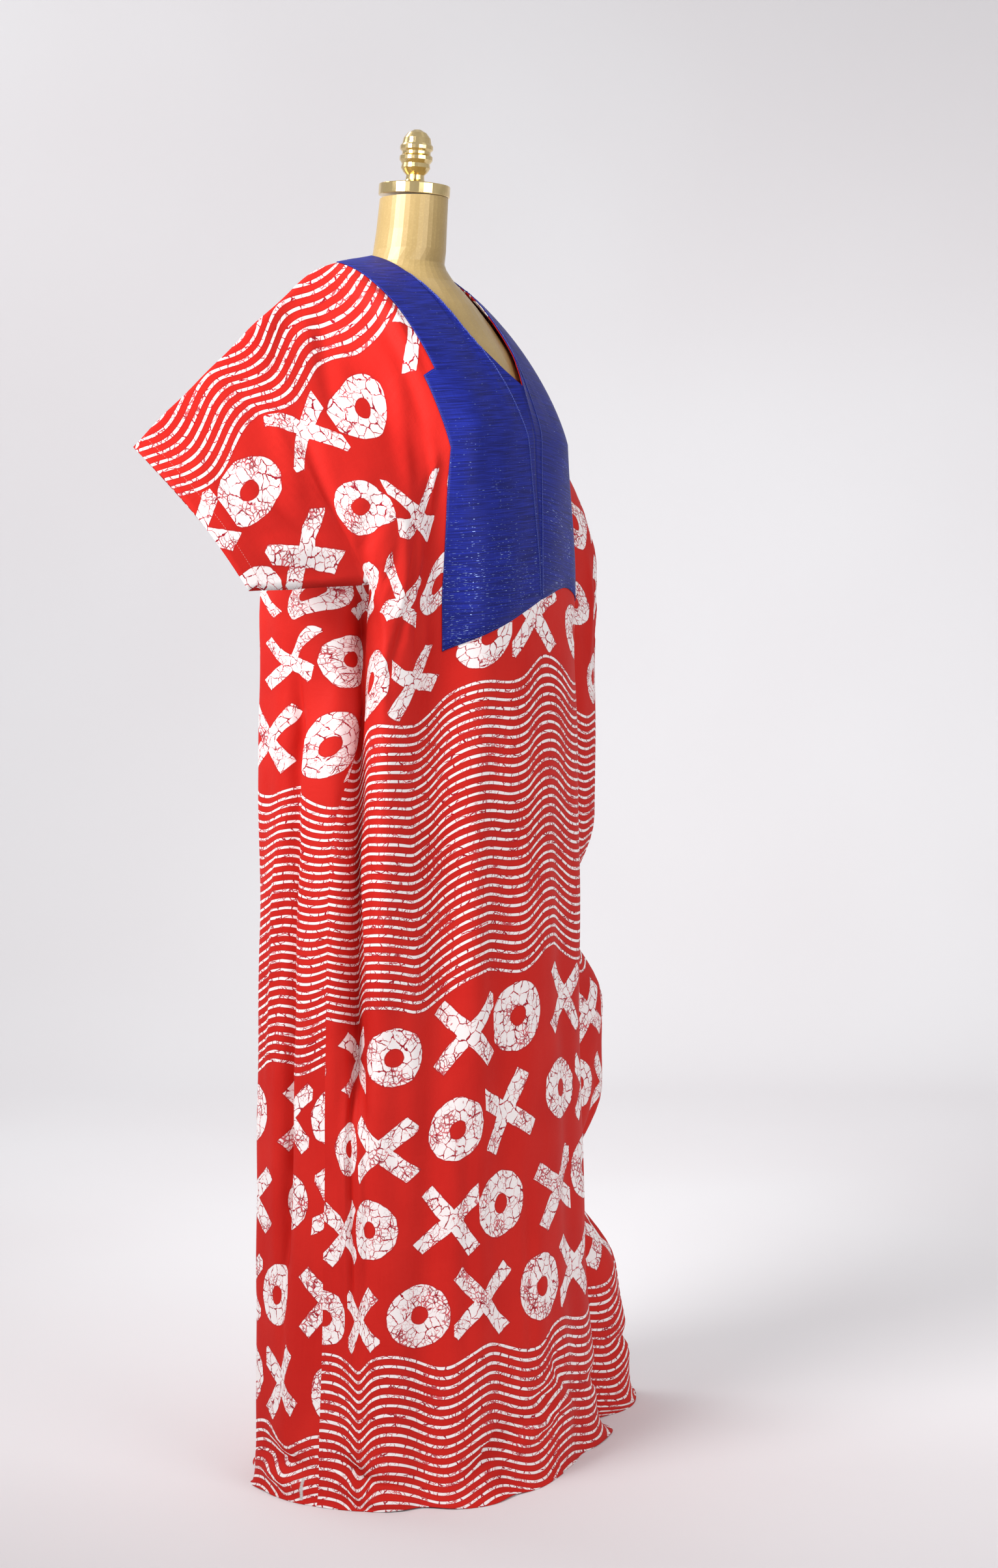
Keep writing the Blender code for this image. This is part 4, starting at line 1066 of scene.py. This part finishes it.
FIRST_ROW_NEAR = (0.18, 0.29, 0.030, 0.0)  # rises further by the strap: over which u, from and to
WAVE_LINES = 32
WAVE_PITCH = (PRINT_REPEAT - BLOCK_LENGTH) / WAVE_LINES
WAVE_WHITE = 0.30  # share of the pitch that is white
WAVE_ROUGH = 0.0012
WAVE_HEIGHT = 0.0105
WAVE_LENGTH = 0.135
WAVE_DRIFT = 1.6  # how unevenly the crests are spaced
EDGE_SOFT = 0.00045  # half the width over which white turns to red
RIM_PLACE = 0.0006  # of the darker line outside a white edge
RIM_WIDTHS = (0.0003, 0.0012)
CRACKS_LARGE = 66.0  # cells a metre
CRACKS_SMALL = 150.0
CRACK_LARGE_WIDTH = 0.0034
CRACK_SMALL_WIDTH = 0.0050
CRACK_WARP = 0.013  # how far the cracks bend from straight lines
CRACK_FRAY = 0.003
GRAIN_DROP = 0.10  # how much the bib's slubs drop towards its sides


# ---- node helper ----
def operation(name):
    """A method that makes one kind of math node."""

    def method(self, *others):
        return self.math(name, *others)

    return method


class Field:
    """A value in a material's nodes that takes part in sums."""

    def __init__(self, tree, socket):
        self.tree, self.socket = tree, socket

    def math(self, name, *others):
        node = self.tree.nodes.new("ShaderNodeMath")
        node.operation = name
        for slot, value in zip(node.inputs, (self, *others)):
            put(slot, value)
        return Field(self.tree, node.outputs[0])

    __add__ = __radd__ = operation("ADD")
    __sub__ = operation("SUBTRACT")
    __mul__ = __rmul__ = operation("MULTIPLY")
    __truediv__ = operation("DIVIDE")
    abs, floor, sign = operation("ABSOLUTE"), operation("FLOOR"), operation("SIGN")
    sin, cos, root = operation("SINE"), operation("COSINE"), operation("SQRT")
    least, most, over = operation("MINIMUM"), operation("MAXIMUM"), operation("GREATER_THAN")

    def __rsub__(self, other):
        return (self * -1) + other

    def wrap(self, period):
        """This value less whole periods, from 0 to the period."""
        return self.math("WRAP", period, 0.0)

    def ramp(self, low, high, to_low=0.0, to_high=1.0):
        """A smooth step from to_low at low to to_high at high."""
        node = self.tree.nodes.new("ShaderNodeMapRange")
        node.interpolation_type = "SMOOTHSTEP"
        values = {"Value": self, "From Min": low, "From Max": high, "To Min": to_low, "To Max": to_high}
        put_all(node, values)
        return Field(self.tree, node.outputs["Result"])


def put(slot, value):
    """Sets a socket to a number or colour, or links it to a field."""
    if isinstance(value, Field):
        value.tree.links.new(value.socket, slot)
    else:
        slot.default_value = value


def put_all(node, values):
    for name, value in values.items():
        put(node.inputs[name], value)


def length(x, y):
    return (x * x + y * y).root()


def joined(x, y, z=0.0):
    node = x.tree.nodes.new("ShaderNodeCombineXYZ")
    for slot, value in zip(node.inputs, (x, y, z)):
        put(slot, value)
    return Field(x.tree, node.outputs[0])


def parts_of(vector):
    node = vector.tree.nodes.new("ShaderNodeSeparateXYZ")
    put(node.inputs[0], vector)
    return [Field(vector.tree, out) for out in node.outputs]


def cloth_place(tree):
    """u and v of the flat cloth."""
    node = tree.nodes.new("ShaderNodeUVMap")
    node.uv_map = "cloth"
    return parts_of(Field(tree, node.outputs[0]))[:2]


def object_place(tree):
    node = tree.nodes.new("ShaderNodeTexCoord")
    return Field(tree, node.outputs["Object"])


def noise(place, scale, detail=2.0, rough=0.5, seed=0.0):
    node = place.tree.nodes.new("ShaderNodeTexNoise")
    node.noise_dimensions = "4D"
    put_all(node, {"Vector": place, "W": seed, "Scale": scale, "Detail": detail, "Roughness": rough})
    return Field(place.tree, node.outputs[0])


def chance(x, y, z=0.0):
    """Three numbers from 0 to 1 that depend only on the whole numbers x, y and z."""
    node = x.tree.nodes.new("ShaderNodeTexWhiteNoise")
    node.noise_dimensions = "3D"
    put(node.inputs["Vector"], joined(x, y, z))
    return parts_of(Field(x.tree, node.outputs["Color"]))


def cracks(place, scale):
    """How far each place is from the nearest line of a network of cracks."""
    node = place.tree.nodes.new("ShaderNodeTexVoronoi")
    node.voronoi_dimensions = "2D"
    node.feature = "DISTANCE_TO_EDGE"
    put_all(node, {"Vector": place, "Scale": scale, "Randomness": 1.0})
    return Field(place.tree, node.outputs["Distance"]) / scale


def mix(share, first, second):
    """The first colour, with a share of the second."""
    tree = next(value.tree for value in (share, first) if isinstance(value, Field))
    node = tree.nodes.new("ShaderNodeMix")
    node.data_type = "RGBA"
    for slot, value in ((0, share), (6, first), (7, second)):
        put(node.inputs[slot], value)
    return Field(tree, node.outputs[2])


def bump(height, distance, strength=1.0, under=None):
    node = height.tree.nodes.new("ShaderNodeBump")
    put_all(node, {"Distance": distance, "Strength": strength, "Height": height})
    if under is not None:
        put(node.inputs["Normal"], under)
    return Field(height.tree, node.outputs[0])


def material(name, looks_of, *values):
    """A material with the shader inputs that looks_of gives for its node tree."""
    made = bpy.data.materials.new(name)
    made.use_nodes = True
    put_all(made.node_tree.nodes["Principled BSDF"], looks_of(made.node_tree, *values))
    return made


# ---- printed cotton ----
def lucky(size, luck, sizes):
    """A size that chance makes larger or smaller."""
    least, more = sizes
    return size * (luck * more + least)


def motif_edge(u, v, row, along, swell):
    """Signed distance to the nearest ring or cross: under 0 inside it."""
    row_chance = chance(row, 7.0)[0]
    first_row = 1.0 - row.abs().over(0.5)
    slid = u + row_chance * PAIR_PERIOD + first_row * FIRST_ROW_SHIFT
    pair = (slid / PAIR_PERIOD).floor()
    x = slid - (pair + 0.5) * PAIR_PERIOD
    half = x.sign()
    luck = chance(pair, row, half)
    x = x - half * PAIR_SPREAD - (luck[0] - 0.5) * MOTIF_SLIP
    raised = first_row * (u.abs().ramp(*FIRST_ROW_NEAR) + FIRST_ROW_RISE)
    x, y = x / swell, (along + raised - (luck[1] - 0.5) * MOTIF_SLIP) / swell
    rough = noise(joined(u, v), 55.0, seed=3.0) - 0.5
    ring_outer = length(x, y / RING_TALL) - lucky(RING_OUTER, luck[2], RING_SIZES) - rough * RING_ROUGH
    ring_hole = RING_HOLE - length(x - HOLE_ASIDE, y / RING_TALL) - rough * HOLE_ROUGH
    ring = ring_outer.most(ring_hole)
    turn = (luck[2] - 0.5) * CROSS_TURN + math.pi / 4
    across = x * turn.cos() + y * turn.sin()
    up = y * turn.cos() - x * turn.sin()
    lean = across + up * (luck[0] - 0.5) * CROSS_SKEW
    tall = up + across * (luck[1] - 0.5) * CROSS_SKEW
    thin = lean.abs().least(tall.abs()) - lucky(CROSS_ARM, luck[1], ARM_SIZES) - rough * ARM_ROUGH
    reach = across.abs().most(up.abs()) - lucky(CROSS_REACH, luck[0], REACH_SIZES) - rough * RING_ROUGH
    cross = thin.most(reach)
    odd = (row + half * 0.5 + 0.5).wrap(2.0).over(0.5)
    return (ring * odd + cross * (1.0 - odd)) * swell


def wave_bend(u, v):
    """How far the wavy lines lie from straight ones."""
    drift = noise(joined(u, v * 0.25), 6.0, 1.0, seed=9.0)
    return ((u / WAVE_LENGTH) * 2 * math.pi + drift * WAVE_DRIFT).sin() * WAVE_HEIGHT


def wave_edge(u, down):
    """Signed distance to the nearest white line of the waves: under 0 inside it."""
    line = down / WAVE_PITCH
    place = (line - line.floor() - 0.5).abs()
    width = noise(joined(u, line.floor() * 0.31), 38.0, 1.0, seed=5.0) - 0.5
    return (place - WAVE_WHITE / 2) * WAVE_PITCH - width * WAVE_ROUGH


def print_across(u, v, place, on_sleeve):
    """u of the print, which is drawn in over the right front's pleats and on the sleeves."""
    right_front = v.ramp(*FRONT_SPREAD_DOWN) * (u * -1.0).ramp(*FRONT_SPREAD_ACROSS)
    spread = right_front * (FRONT_SPREAD - REST_SPREAD) + REST_SPREAD
    past = (u.abs() - SLEEVE_PRINT[0]).most(0.0)
    drawn_in = past * (SLEEVE_SPREAD - REST_SPREAD) * on_sleeve
    wander = noise(place, 14.0, seed=1.0) - 0.5
    return u * spread + u.sign() * drawn_in + wander * PRINT_WANDER


def print_down(u, v, place):
    """v of the print, which is shifted in front and behind, and by the underarm seams."""
    back_end, back_start, front_start, front_end = SHIFT_PLACES
    shift = v.ramp(back_end, back_start, BACK_SHIFT, FRONT_SHIFT)
    shift = shift - v.ramp(front_start, front_end, 0.0, FRONT_SHIFT)
    closer = v.abs().ramp(SLEEVE_ROWS_FROM, ARMPIT_DEEP, 0.0, SLEEVE_CLOSER)
    closer = closer - v.abs().ramp(*CLOSER_FADE, 0.0, SLEEVE_CLOSER)
    shift = shift + closer * v.sign() * u.abs().ramp(*SLEEVE_PRINT)
    wander = noise(place, 14.0, seed=2.0) - 0.5
    return v + shift + wander * PRINT_WANDER


def figure_stretch(v, on_sleeve):
    """How much flatter the figures' places are taken, where the shifts have changed them."""
    end = SHIFT_PLACES[3]
    shifted = v.ramp(*SHIFT_PLACES[1:3]) * v.ramp(end - SHIFT_STRETCH_FADE, end, 1.0, 0.0)
    by_strap = v.ramp(*STRAP_START) * v.ramp(*STRAP_END, 1.0, 0.0) * (1.0 - on_sleeve)
    return (1.0 + shifted * SHIFT_STRETCH) * (1.0 + by_strap * STRAP_STRETCH)


def print_edge(u, v, place):
    """Signed distance to the nearest edge of the print: under 0 where it is white."""
    low = ARMPIT_DEEP + SLEEVE_PRINT_FADE
    on_sleeve = u.abs().ramp(*SLEEVE_PRINT) * v.abs().ramp(ARMPIT_DEEP, low, 1.0, 0.0)
    print_u = print_across(u, v, place, on_sleeve)
    print_v = print_down(u, v, place)
    straight = print_v - PRINT_START
    bent = straight + wave_bend(print_u, v)
    zone = (bent / PRINT_REPEAT).floor()
    waved = bent - zone * PRINT_REPEAT - BLOCK_LENGTH
    down = straight - zone * PRINT_REPEAT
    pitch = BLOCK_LENGTH / MOTIF_ROWS
    row = (down / pitch).floor().most(0.0).least(MOTIF_ROWS - 1.0)
    along = (down - (row + 0.5) * pitch) * figure_stretch(v, on_sleeve)
    swell = on_sleeve * SLEEVE_SWELL + 1.0
    motifs = motif_edge(print_u, print_v, zone * MOTIF_ROWS + row, along, swell)
    in_waves = waved.over(0.0)
    return motifs * (1.0 - in_waves) + wave_edge(print_u, waved) * in_waves


def veined_white(u, v, place):
    """The colour of the resist's white, with the veins of dye that ran into cracked wax."""
    warp = noise(place, 60.0, 3.0, seed=4.0) - 0.5
    warp_down = noise(place, 60.0, 3.0, seed=6.0) - 0.5
    frayed = (noise(place, 260.0, seed=7.0) - 0.5) * CRACK_FRAY
    cracked = joined(u + warp * CRACK_WARP + frayed, v + warp_down * CRACK_WARP - frayed)
    bite = noise(place, 90.0, seed=8.0)
    patchy = noise(place, 26.0, 1.0, seed=11.0)
    large = cracks(cracked, CRACKS_LARGE) - (bite - 0.36) * CRACK_LARGE_WIDTH
    small = cracks(cracked, CRACKS_SMALL) - (patchy - 0.49) * CRACK_SMALL_WIDTH
    veins = large.ramp(-0.0002, 0.0004, 1.0, 0.0)
    fine = small.ramp(-0.0002, 0.0003, 1.0, 0.0)
    blot = (noise(place, 95.0, 3.0, seed=12.0) + patchy * 0.25).ramp(0.745, 0.79)
    veined = veins.most(fine * 0.9).most(blot * 0.8)
    return mix(veined, RESIST_WHITE, mix(bite.ramp(0.35, 0.65), VEIN, VEIN_DARK))


def dyed_red(u, v, place):
    """The colour of the red ground, a little uneven."""
    cloudy = noise(place, 7.0, 3.0, seed=13.0)
    threads = noise(joined(u * 260.0, v * 24.0), 1.0, 1.0, seed=14.0)
    red = mix(cloudy.ramp(0.3, 0.7), RED_WORN, RED_FAINT)
    red = mix(0.55, red, RED)
    return mix(threads.ramp(0.35, 0.8) * 0.12, red, RED_FAINT)


def printed_cotton(tree):
    """Red cotton with white resist-printed rings, crosses and waves, all veined by cracked wax."""
    u, v = cloth_place(tree)
    place = joined(u, v)
    edge = print_edge(u, v, place)
    white = edge.ramp(-EDGE_SOFT, EDGE_SOFT, 1.0, 0.0)
    rim = (edge - RIM_PLACE).abs().ramp(*RIM_WIDTHS, 1.0, 0.0)
    ground = mix(rim * 0.4, dyed_red(u, v, place), PRINT_RIM)
    weave = noise(joined(u * 900.0, v * 900.0), 1.0, 1.0, seed=15.0)
    slubs = noise(joined(u * 30.0, v * 420.0), 1.0, 2.0, seed=16.0)
    crumple = noise(place, 22.0, 4.0, 0.55, seed=17.0)
    return {
        "Base Color": mix(white, ground, veined_white(u, v, place)),
        "Normal": bump(weave + slubs, 0.0002, 0.6, under=bump(crumple, 0.004, 0.35)),
        "Roughness": weave.ramp(0.2, 0.8, 0.62, 0.74),
        "Specular IOR Level": 0.17,
    }


# ---- the other materials ----
def blue_brocade(tree):
    """Blue slubbed cloth with a bright metallic thread that shows in broken dashes across it."""
    u = cloth_place(tree)[0]
    x, _, z = parts_of(object_place(tree))
    place = joined(u, z)
    wander = noise(place, 30.0, 1.0, seed=5.0) * 0.002
    grain = z + x.abs() * GRAIN_DROP + wander
    slub = noise(joined(u * 16.0, grain * 620.0), 1.0, 3.0, 0.6, seed=1.0)
    warp = noise(joined(u * 900.0, z * 30.0), 1.0, 1.0, seed=2.0)
    dashes = noise(joined(u * 120.0, grain * 1000.0), 1.0, 2.0, 0.6, seed=3.0)
    dots = noise(joined(u * 620.0, grain * 620.0), 1.0, 1.0, 0.5, seed=6.0)
    lower = z.ramp(1.36, 1.10, 0.0, 1.0)
    patch = noise(place, 16.0, seed=4.0)
    spark = (dashes + lower * 0.055 + (patch - 0.5) * 0.16).ramp(0.675, 0.725)
    spark = spark.most(dots.ramp(0.79, 0.82) * 0.9)
    base = mix(slub.ramp(0.36, 0.66), BLUE_GROUND, BLUE_LIGHT)
    base = mix(warp.ramp(0.3, 0.8) * 0.25, base, BLUE_GROUND)
    relief = bump(slub + dashes * 0.6, 0.0005, 0.7)
    return {
        "Base Color": mix(spark, base, BLUE_LUREX),
        "Metallic": spark * 0.85,
        "Roughness": spark.ramp(0.0, 1.0, 0.50, 0.22),
        "Normal": bump(warp, 0.0003, 0.5, under=relief),
        "Specular IOR Level": 0.20,
    }


def thread(tree, colour):
    """Twisted sewing thread."""
    twist = noise(object_place(tree), 2200.0)
    colour = mix(twist.ramp(0.35, 0.65) * 0.35, colour, THREAD_SHADE)
    return {"Base Color": colour, "Normal": bump(twist, 0.0001), "Roughness": 0.55}


def gold_paint(tree):
    """Satin gold paint, brushed on thinly, a little darker in patches."""
    place = object_place(tree)
    cloud = noise(place, 9.0, 3.0, seed=1.0)
    grain = noise(place, 420.0, seed=2.0)
    colour = mix(cloud.ramp(0.3, 0.7), GOLD_PAINT, GOLD_PAINT_LIGHT)
    relief = bump(noise(place, 22.0, 1.0, seed=3.0), 0.0004, 0.15)
    return {
        "Base Color": mix(grain.ramp(0.45, 0.75) * 0.10, colour, GOLD_FLECK),
        "Roughness": cloud.ramp(0.3, 0.7, 0.31, 0.36),
        "Metallic": 0.12,
        "Normal": bump(grain, 0.00008, 0.5, under=relief),
    }


def metal(tree, colour, roughness, wear_scale):
    """Bright metal with faint turning lines and smears."""
    x, y, z = parts_of(object_place(tree))
    rings = noise(joined(x * 6.0, y * 6.0, z * 1600.0), 1.0, seed=1.0)
    smear = noise(joined(x, y, z), wear_scale, 3.0, seed=2.0)
    return {
        "Base Color": mix(smear.ramp(0.4, 0.8) * 0.3, colour, METAL_SMEAR),
        "Roughness": smear.ramp(0.3, 0.7, roughness, roughness + 0.12),
        "Normal": bump(rings, 0.00003, 0.4),
        "Metallic": 1.0,
    }


def stage_white(tree):
    soft = noise(object_place(tree), 0.7).ramp(0.3, 0.7)
    colour = mix(soft, FLOOR_WHITE, FLOOR_LIGHT)
    return {"Base Color": colour, "Roughness": 0.9, "Specular IOR Level": 0.1}


# ---- stage, light and camera ----
CAMERA_AWAY = 3.5
CAMERA_HEIGHT = 1.1
CAMERA_LENS_MM = 60.5
SENSOR_MM = 36.0
LOOK = Vector((0.866, 0.5, 0.0))  # the way the camera faces
AXIS_PIXEL = (632, 947)  # where the form's axis crosses the camera's height in the photo
STAGE_WIDE = 14.0
STAGE_NEAR = -5.0  # along LOOK from the axis
STAGE_FAR = 2.6
STAGE_BEND = 1.1  # radius where the floor turns up into the backdrop
STAGE_BEND_STEPS = 24
STAGE_TALL = 5.0
SKY = (0.985, 0.985, 0.995, 1.0)
SKY_STRENGTH = 0.49
SPOT_ANGLE = math.radians(70)
# The key is a spot that fades from its middle to its rim, so that the hem gets less of it.
LIGHTS = Table(
    ("name", "kind", "offset", "aim", "size", "watts"),
    ("key", "SPOT", (-2.3, 0.6, 2.6), (0, 0, 1.6), 0.80, 520),
    ("fill", "AREA", (-1.2, -3.4, 1.9), (0, 0, 0.9), 2.2, 38),
    ("backdrop_wash", "AREA", (0.8, 0.4, 3.6), (2.6, 1.5, 1.0), 2.2, 7),
    ("left_wash", "AREA", (0.1, 1.8, 3.0), (2.2, 2.6, 0.7), 1.8, 34),
)


def stage(axis):
    """Floor and backdrop in one sweep behind the object."""
    profile = [(STAGE_NEAR, 0.0)]
    for i in range(STAGE_BEND_STEPS + 1):
        turn = math.radians(90 * i / STAGE_BEND_STEPS)
        profile.append((STAGE_FAR + STAGE_BEND * math.sin(turn), STAGE_BEND * (1 - math.cos(turn))))
    profile.append((STAGE_FAR + STAGE_BEND, STAGE_TALL))
    side = Vector((-LOOK.y, LOOK.x, 0)) * STAGE_WIDE / 2
    points = []
    for away, z in profile:
        middle = axis + LOOK * away + Vector((0, 0, z))
        points += [tuple(middle - side), tuple(middle + side)]
    faces = [(2 * i, 2 * i + 2, 2 * i + 3, 2 * i + 1) for i in range(len(profile) - 1)]
    mesh = bpy.data.meshes.new("backdrop")
    mesh.from_pydata(points, [], faces)
    mesh.shade_smooth()
    new_object("backdrop", mesh, material("stage_white", stage_white))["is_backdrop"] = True


def put_light(axis, name, kind, offset, aim, size, watts):
    light = bpy.data.lights.new(name, kind)
    light.energy = watts
    if kind == "SPOT":
        light.shadow_soft_size = size
        light.spot_size = SPOT_ANGLE
        light.spot_blend = 1.0
    else:
        light.shape = "DISK"
        light.size = size
    made = new_object(name, light)
    made.location = axis + Vector(offset)
    made.rotation_euler = (axis + Vector(aim) - made.location).to_track_quat("-Z", "Y").to_euler()


def studio(axis):
    world = bpy.data.worlds.new("studio")
    world.use_nodes = True
    put_all(world.node_tree.nodes["Background"], {"Color": SKY, "Strength": SKY_STRENGTH})
    bpy.context.scene.world = world
    for light in LIGHTS.rows:
        put_light(axis, **light)
    bpy.context.scene.view_settings.view_transform = "Standard"


def camera(axis):
    made = new_object("camera", bpy.data.cameras.new("camera"))
    made.data.sensor_width = SENSOR_MM
    made.data.lens = CAMERA_LENS_MM
    made.location = axis - LOOK * CAMERA_AWAY + Vector((0, 0, CAMERA_HEIGHT))
    made.rotation_euler = LOOK.to_track_quat("-Z", "Y").to_euler()
    wide, tall = PHOTO_SIZE
    made.data.shift_x = (wide / 2 - AXIS_PIXEL[0]) / tall
    made.data.shift_y = (AXIS_PIXEL[1] - tall / 2) / tall
    bpy.context.scene.camera = made


# ---- the object ----
FORM_LOOKS = {  # of solids that are shown as they are: nodes, colour, roughness, scale of wear
    "polished_gold_looks": (("form_neck_cap", "form_finial"), GOLD_METAL, 0.12, 40.0),
    "stand_metal_looks": (("stand_collar", "stand_pole", "stand_base"), STEEL, 0.28, 25.0),
}


def dress_robe(axis, mesh):
    """The robe. Its flat size is from cuff to cuff, and from hem to hem over the shoulders."""
    robe = new_object("robe_cloth", mesh, material("printed_cotton_looks", printed_cotton))
    robe.location = axis
    thicken(robe, SHEET_THICK)
    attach(robe, "root")
    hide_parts("robe_front", "robe_back")


def dress_bib(axis, mesh, points, front):
    """Both halves of the bib on the robe's points, and their stitches."""
    brocade = material("blue_brocade_looks", blue_brocade)
    runs = []
    for side, node in ((RIGHT, "bib_right"), (LEFT, "bib_left")):
        bib_mesh, surface, flat = bib_half(side, mesh, points, *front)
        bib = new_object(bib_mesh.name, bib_mesh, brocade)
        bib.location = axis
        thicken(bib, BIB_THICK)
        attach(bib, "root")
        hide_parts(node)
        runs += bib_runs(surface, flat)
    finish = material("blue_thread_looks", thread, BLUE_THREAD)
    stitch_object("bib_stitches", runs, axis, finish)


def sew_robe(axis, mesh, points, front, back):
    """The stitches of the cuffs, and the tack at the hem."""
    runs = []
    for panel in (front, back):
        for side in (RIGHT, LEFT):
            surface, flat = half_surface(mesh, points, *panel, side)
            runs.append(cuff_run(surface[: YOKE_ROWS + 1], flat[: YOKE_ROWS + 1]))
    finish = material("cotton_thread_looks", thread, COTTON_THREAD)
    stitch_object("cuff_stitches", runs, axis, finish)
    surface, flat = half_surface(mesh, points, *back, RIGHT)
    runs = []
    for kind, ends in TACK:
        line = [at_flat(surface, flat, *place) for place in np.linspace(*ends, TACK_STEPS)]
        runs.append(stitched(np.array(line), kind))
    finish = material("tack_thread_looks", thread, TACK_THREAD)
    stitch_object("hem_tack", runs, axis, finish)


def finish_node(frame, node, finish):
    made = frame["nodes"][node]
    made.data.materials.clear()
    made.data.materials.append(finish)


def main():
    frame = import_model()
    low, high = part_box("stand_pole")
    axis = Vector(((low.x + high.x) / 2, (low.y + high.y) / 2, 0))

    mesh, points, front, back = robe_sheet()
    dress_robe(axis, mesh)
    dress_bib(axis, mesh, points, front)
    sew_robe(axis, mesh, points, front, back)
    finish_node(frame, "form_torso", material("gold_paint_looks", gold_paint))
    for name, (nodes, *looks) in FORM_LOOKS.items():
        for node in nodes:
            finish_node(frame, node, material(name, metal, *looks))

    stage(axis)
    studio(axis)
    camera(axis)

    low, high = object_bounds()


main()
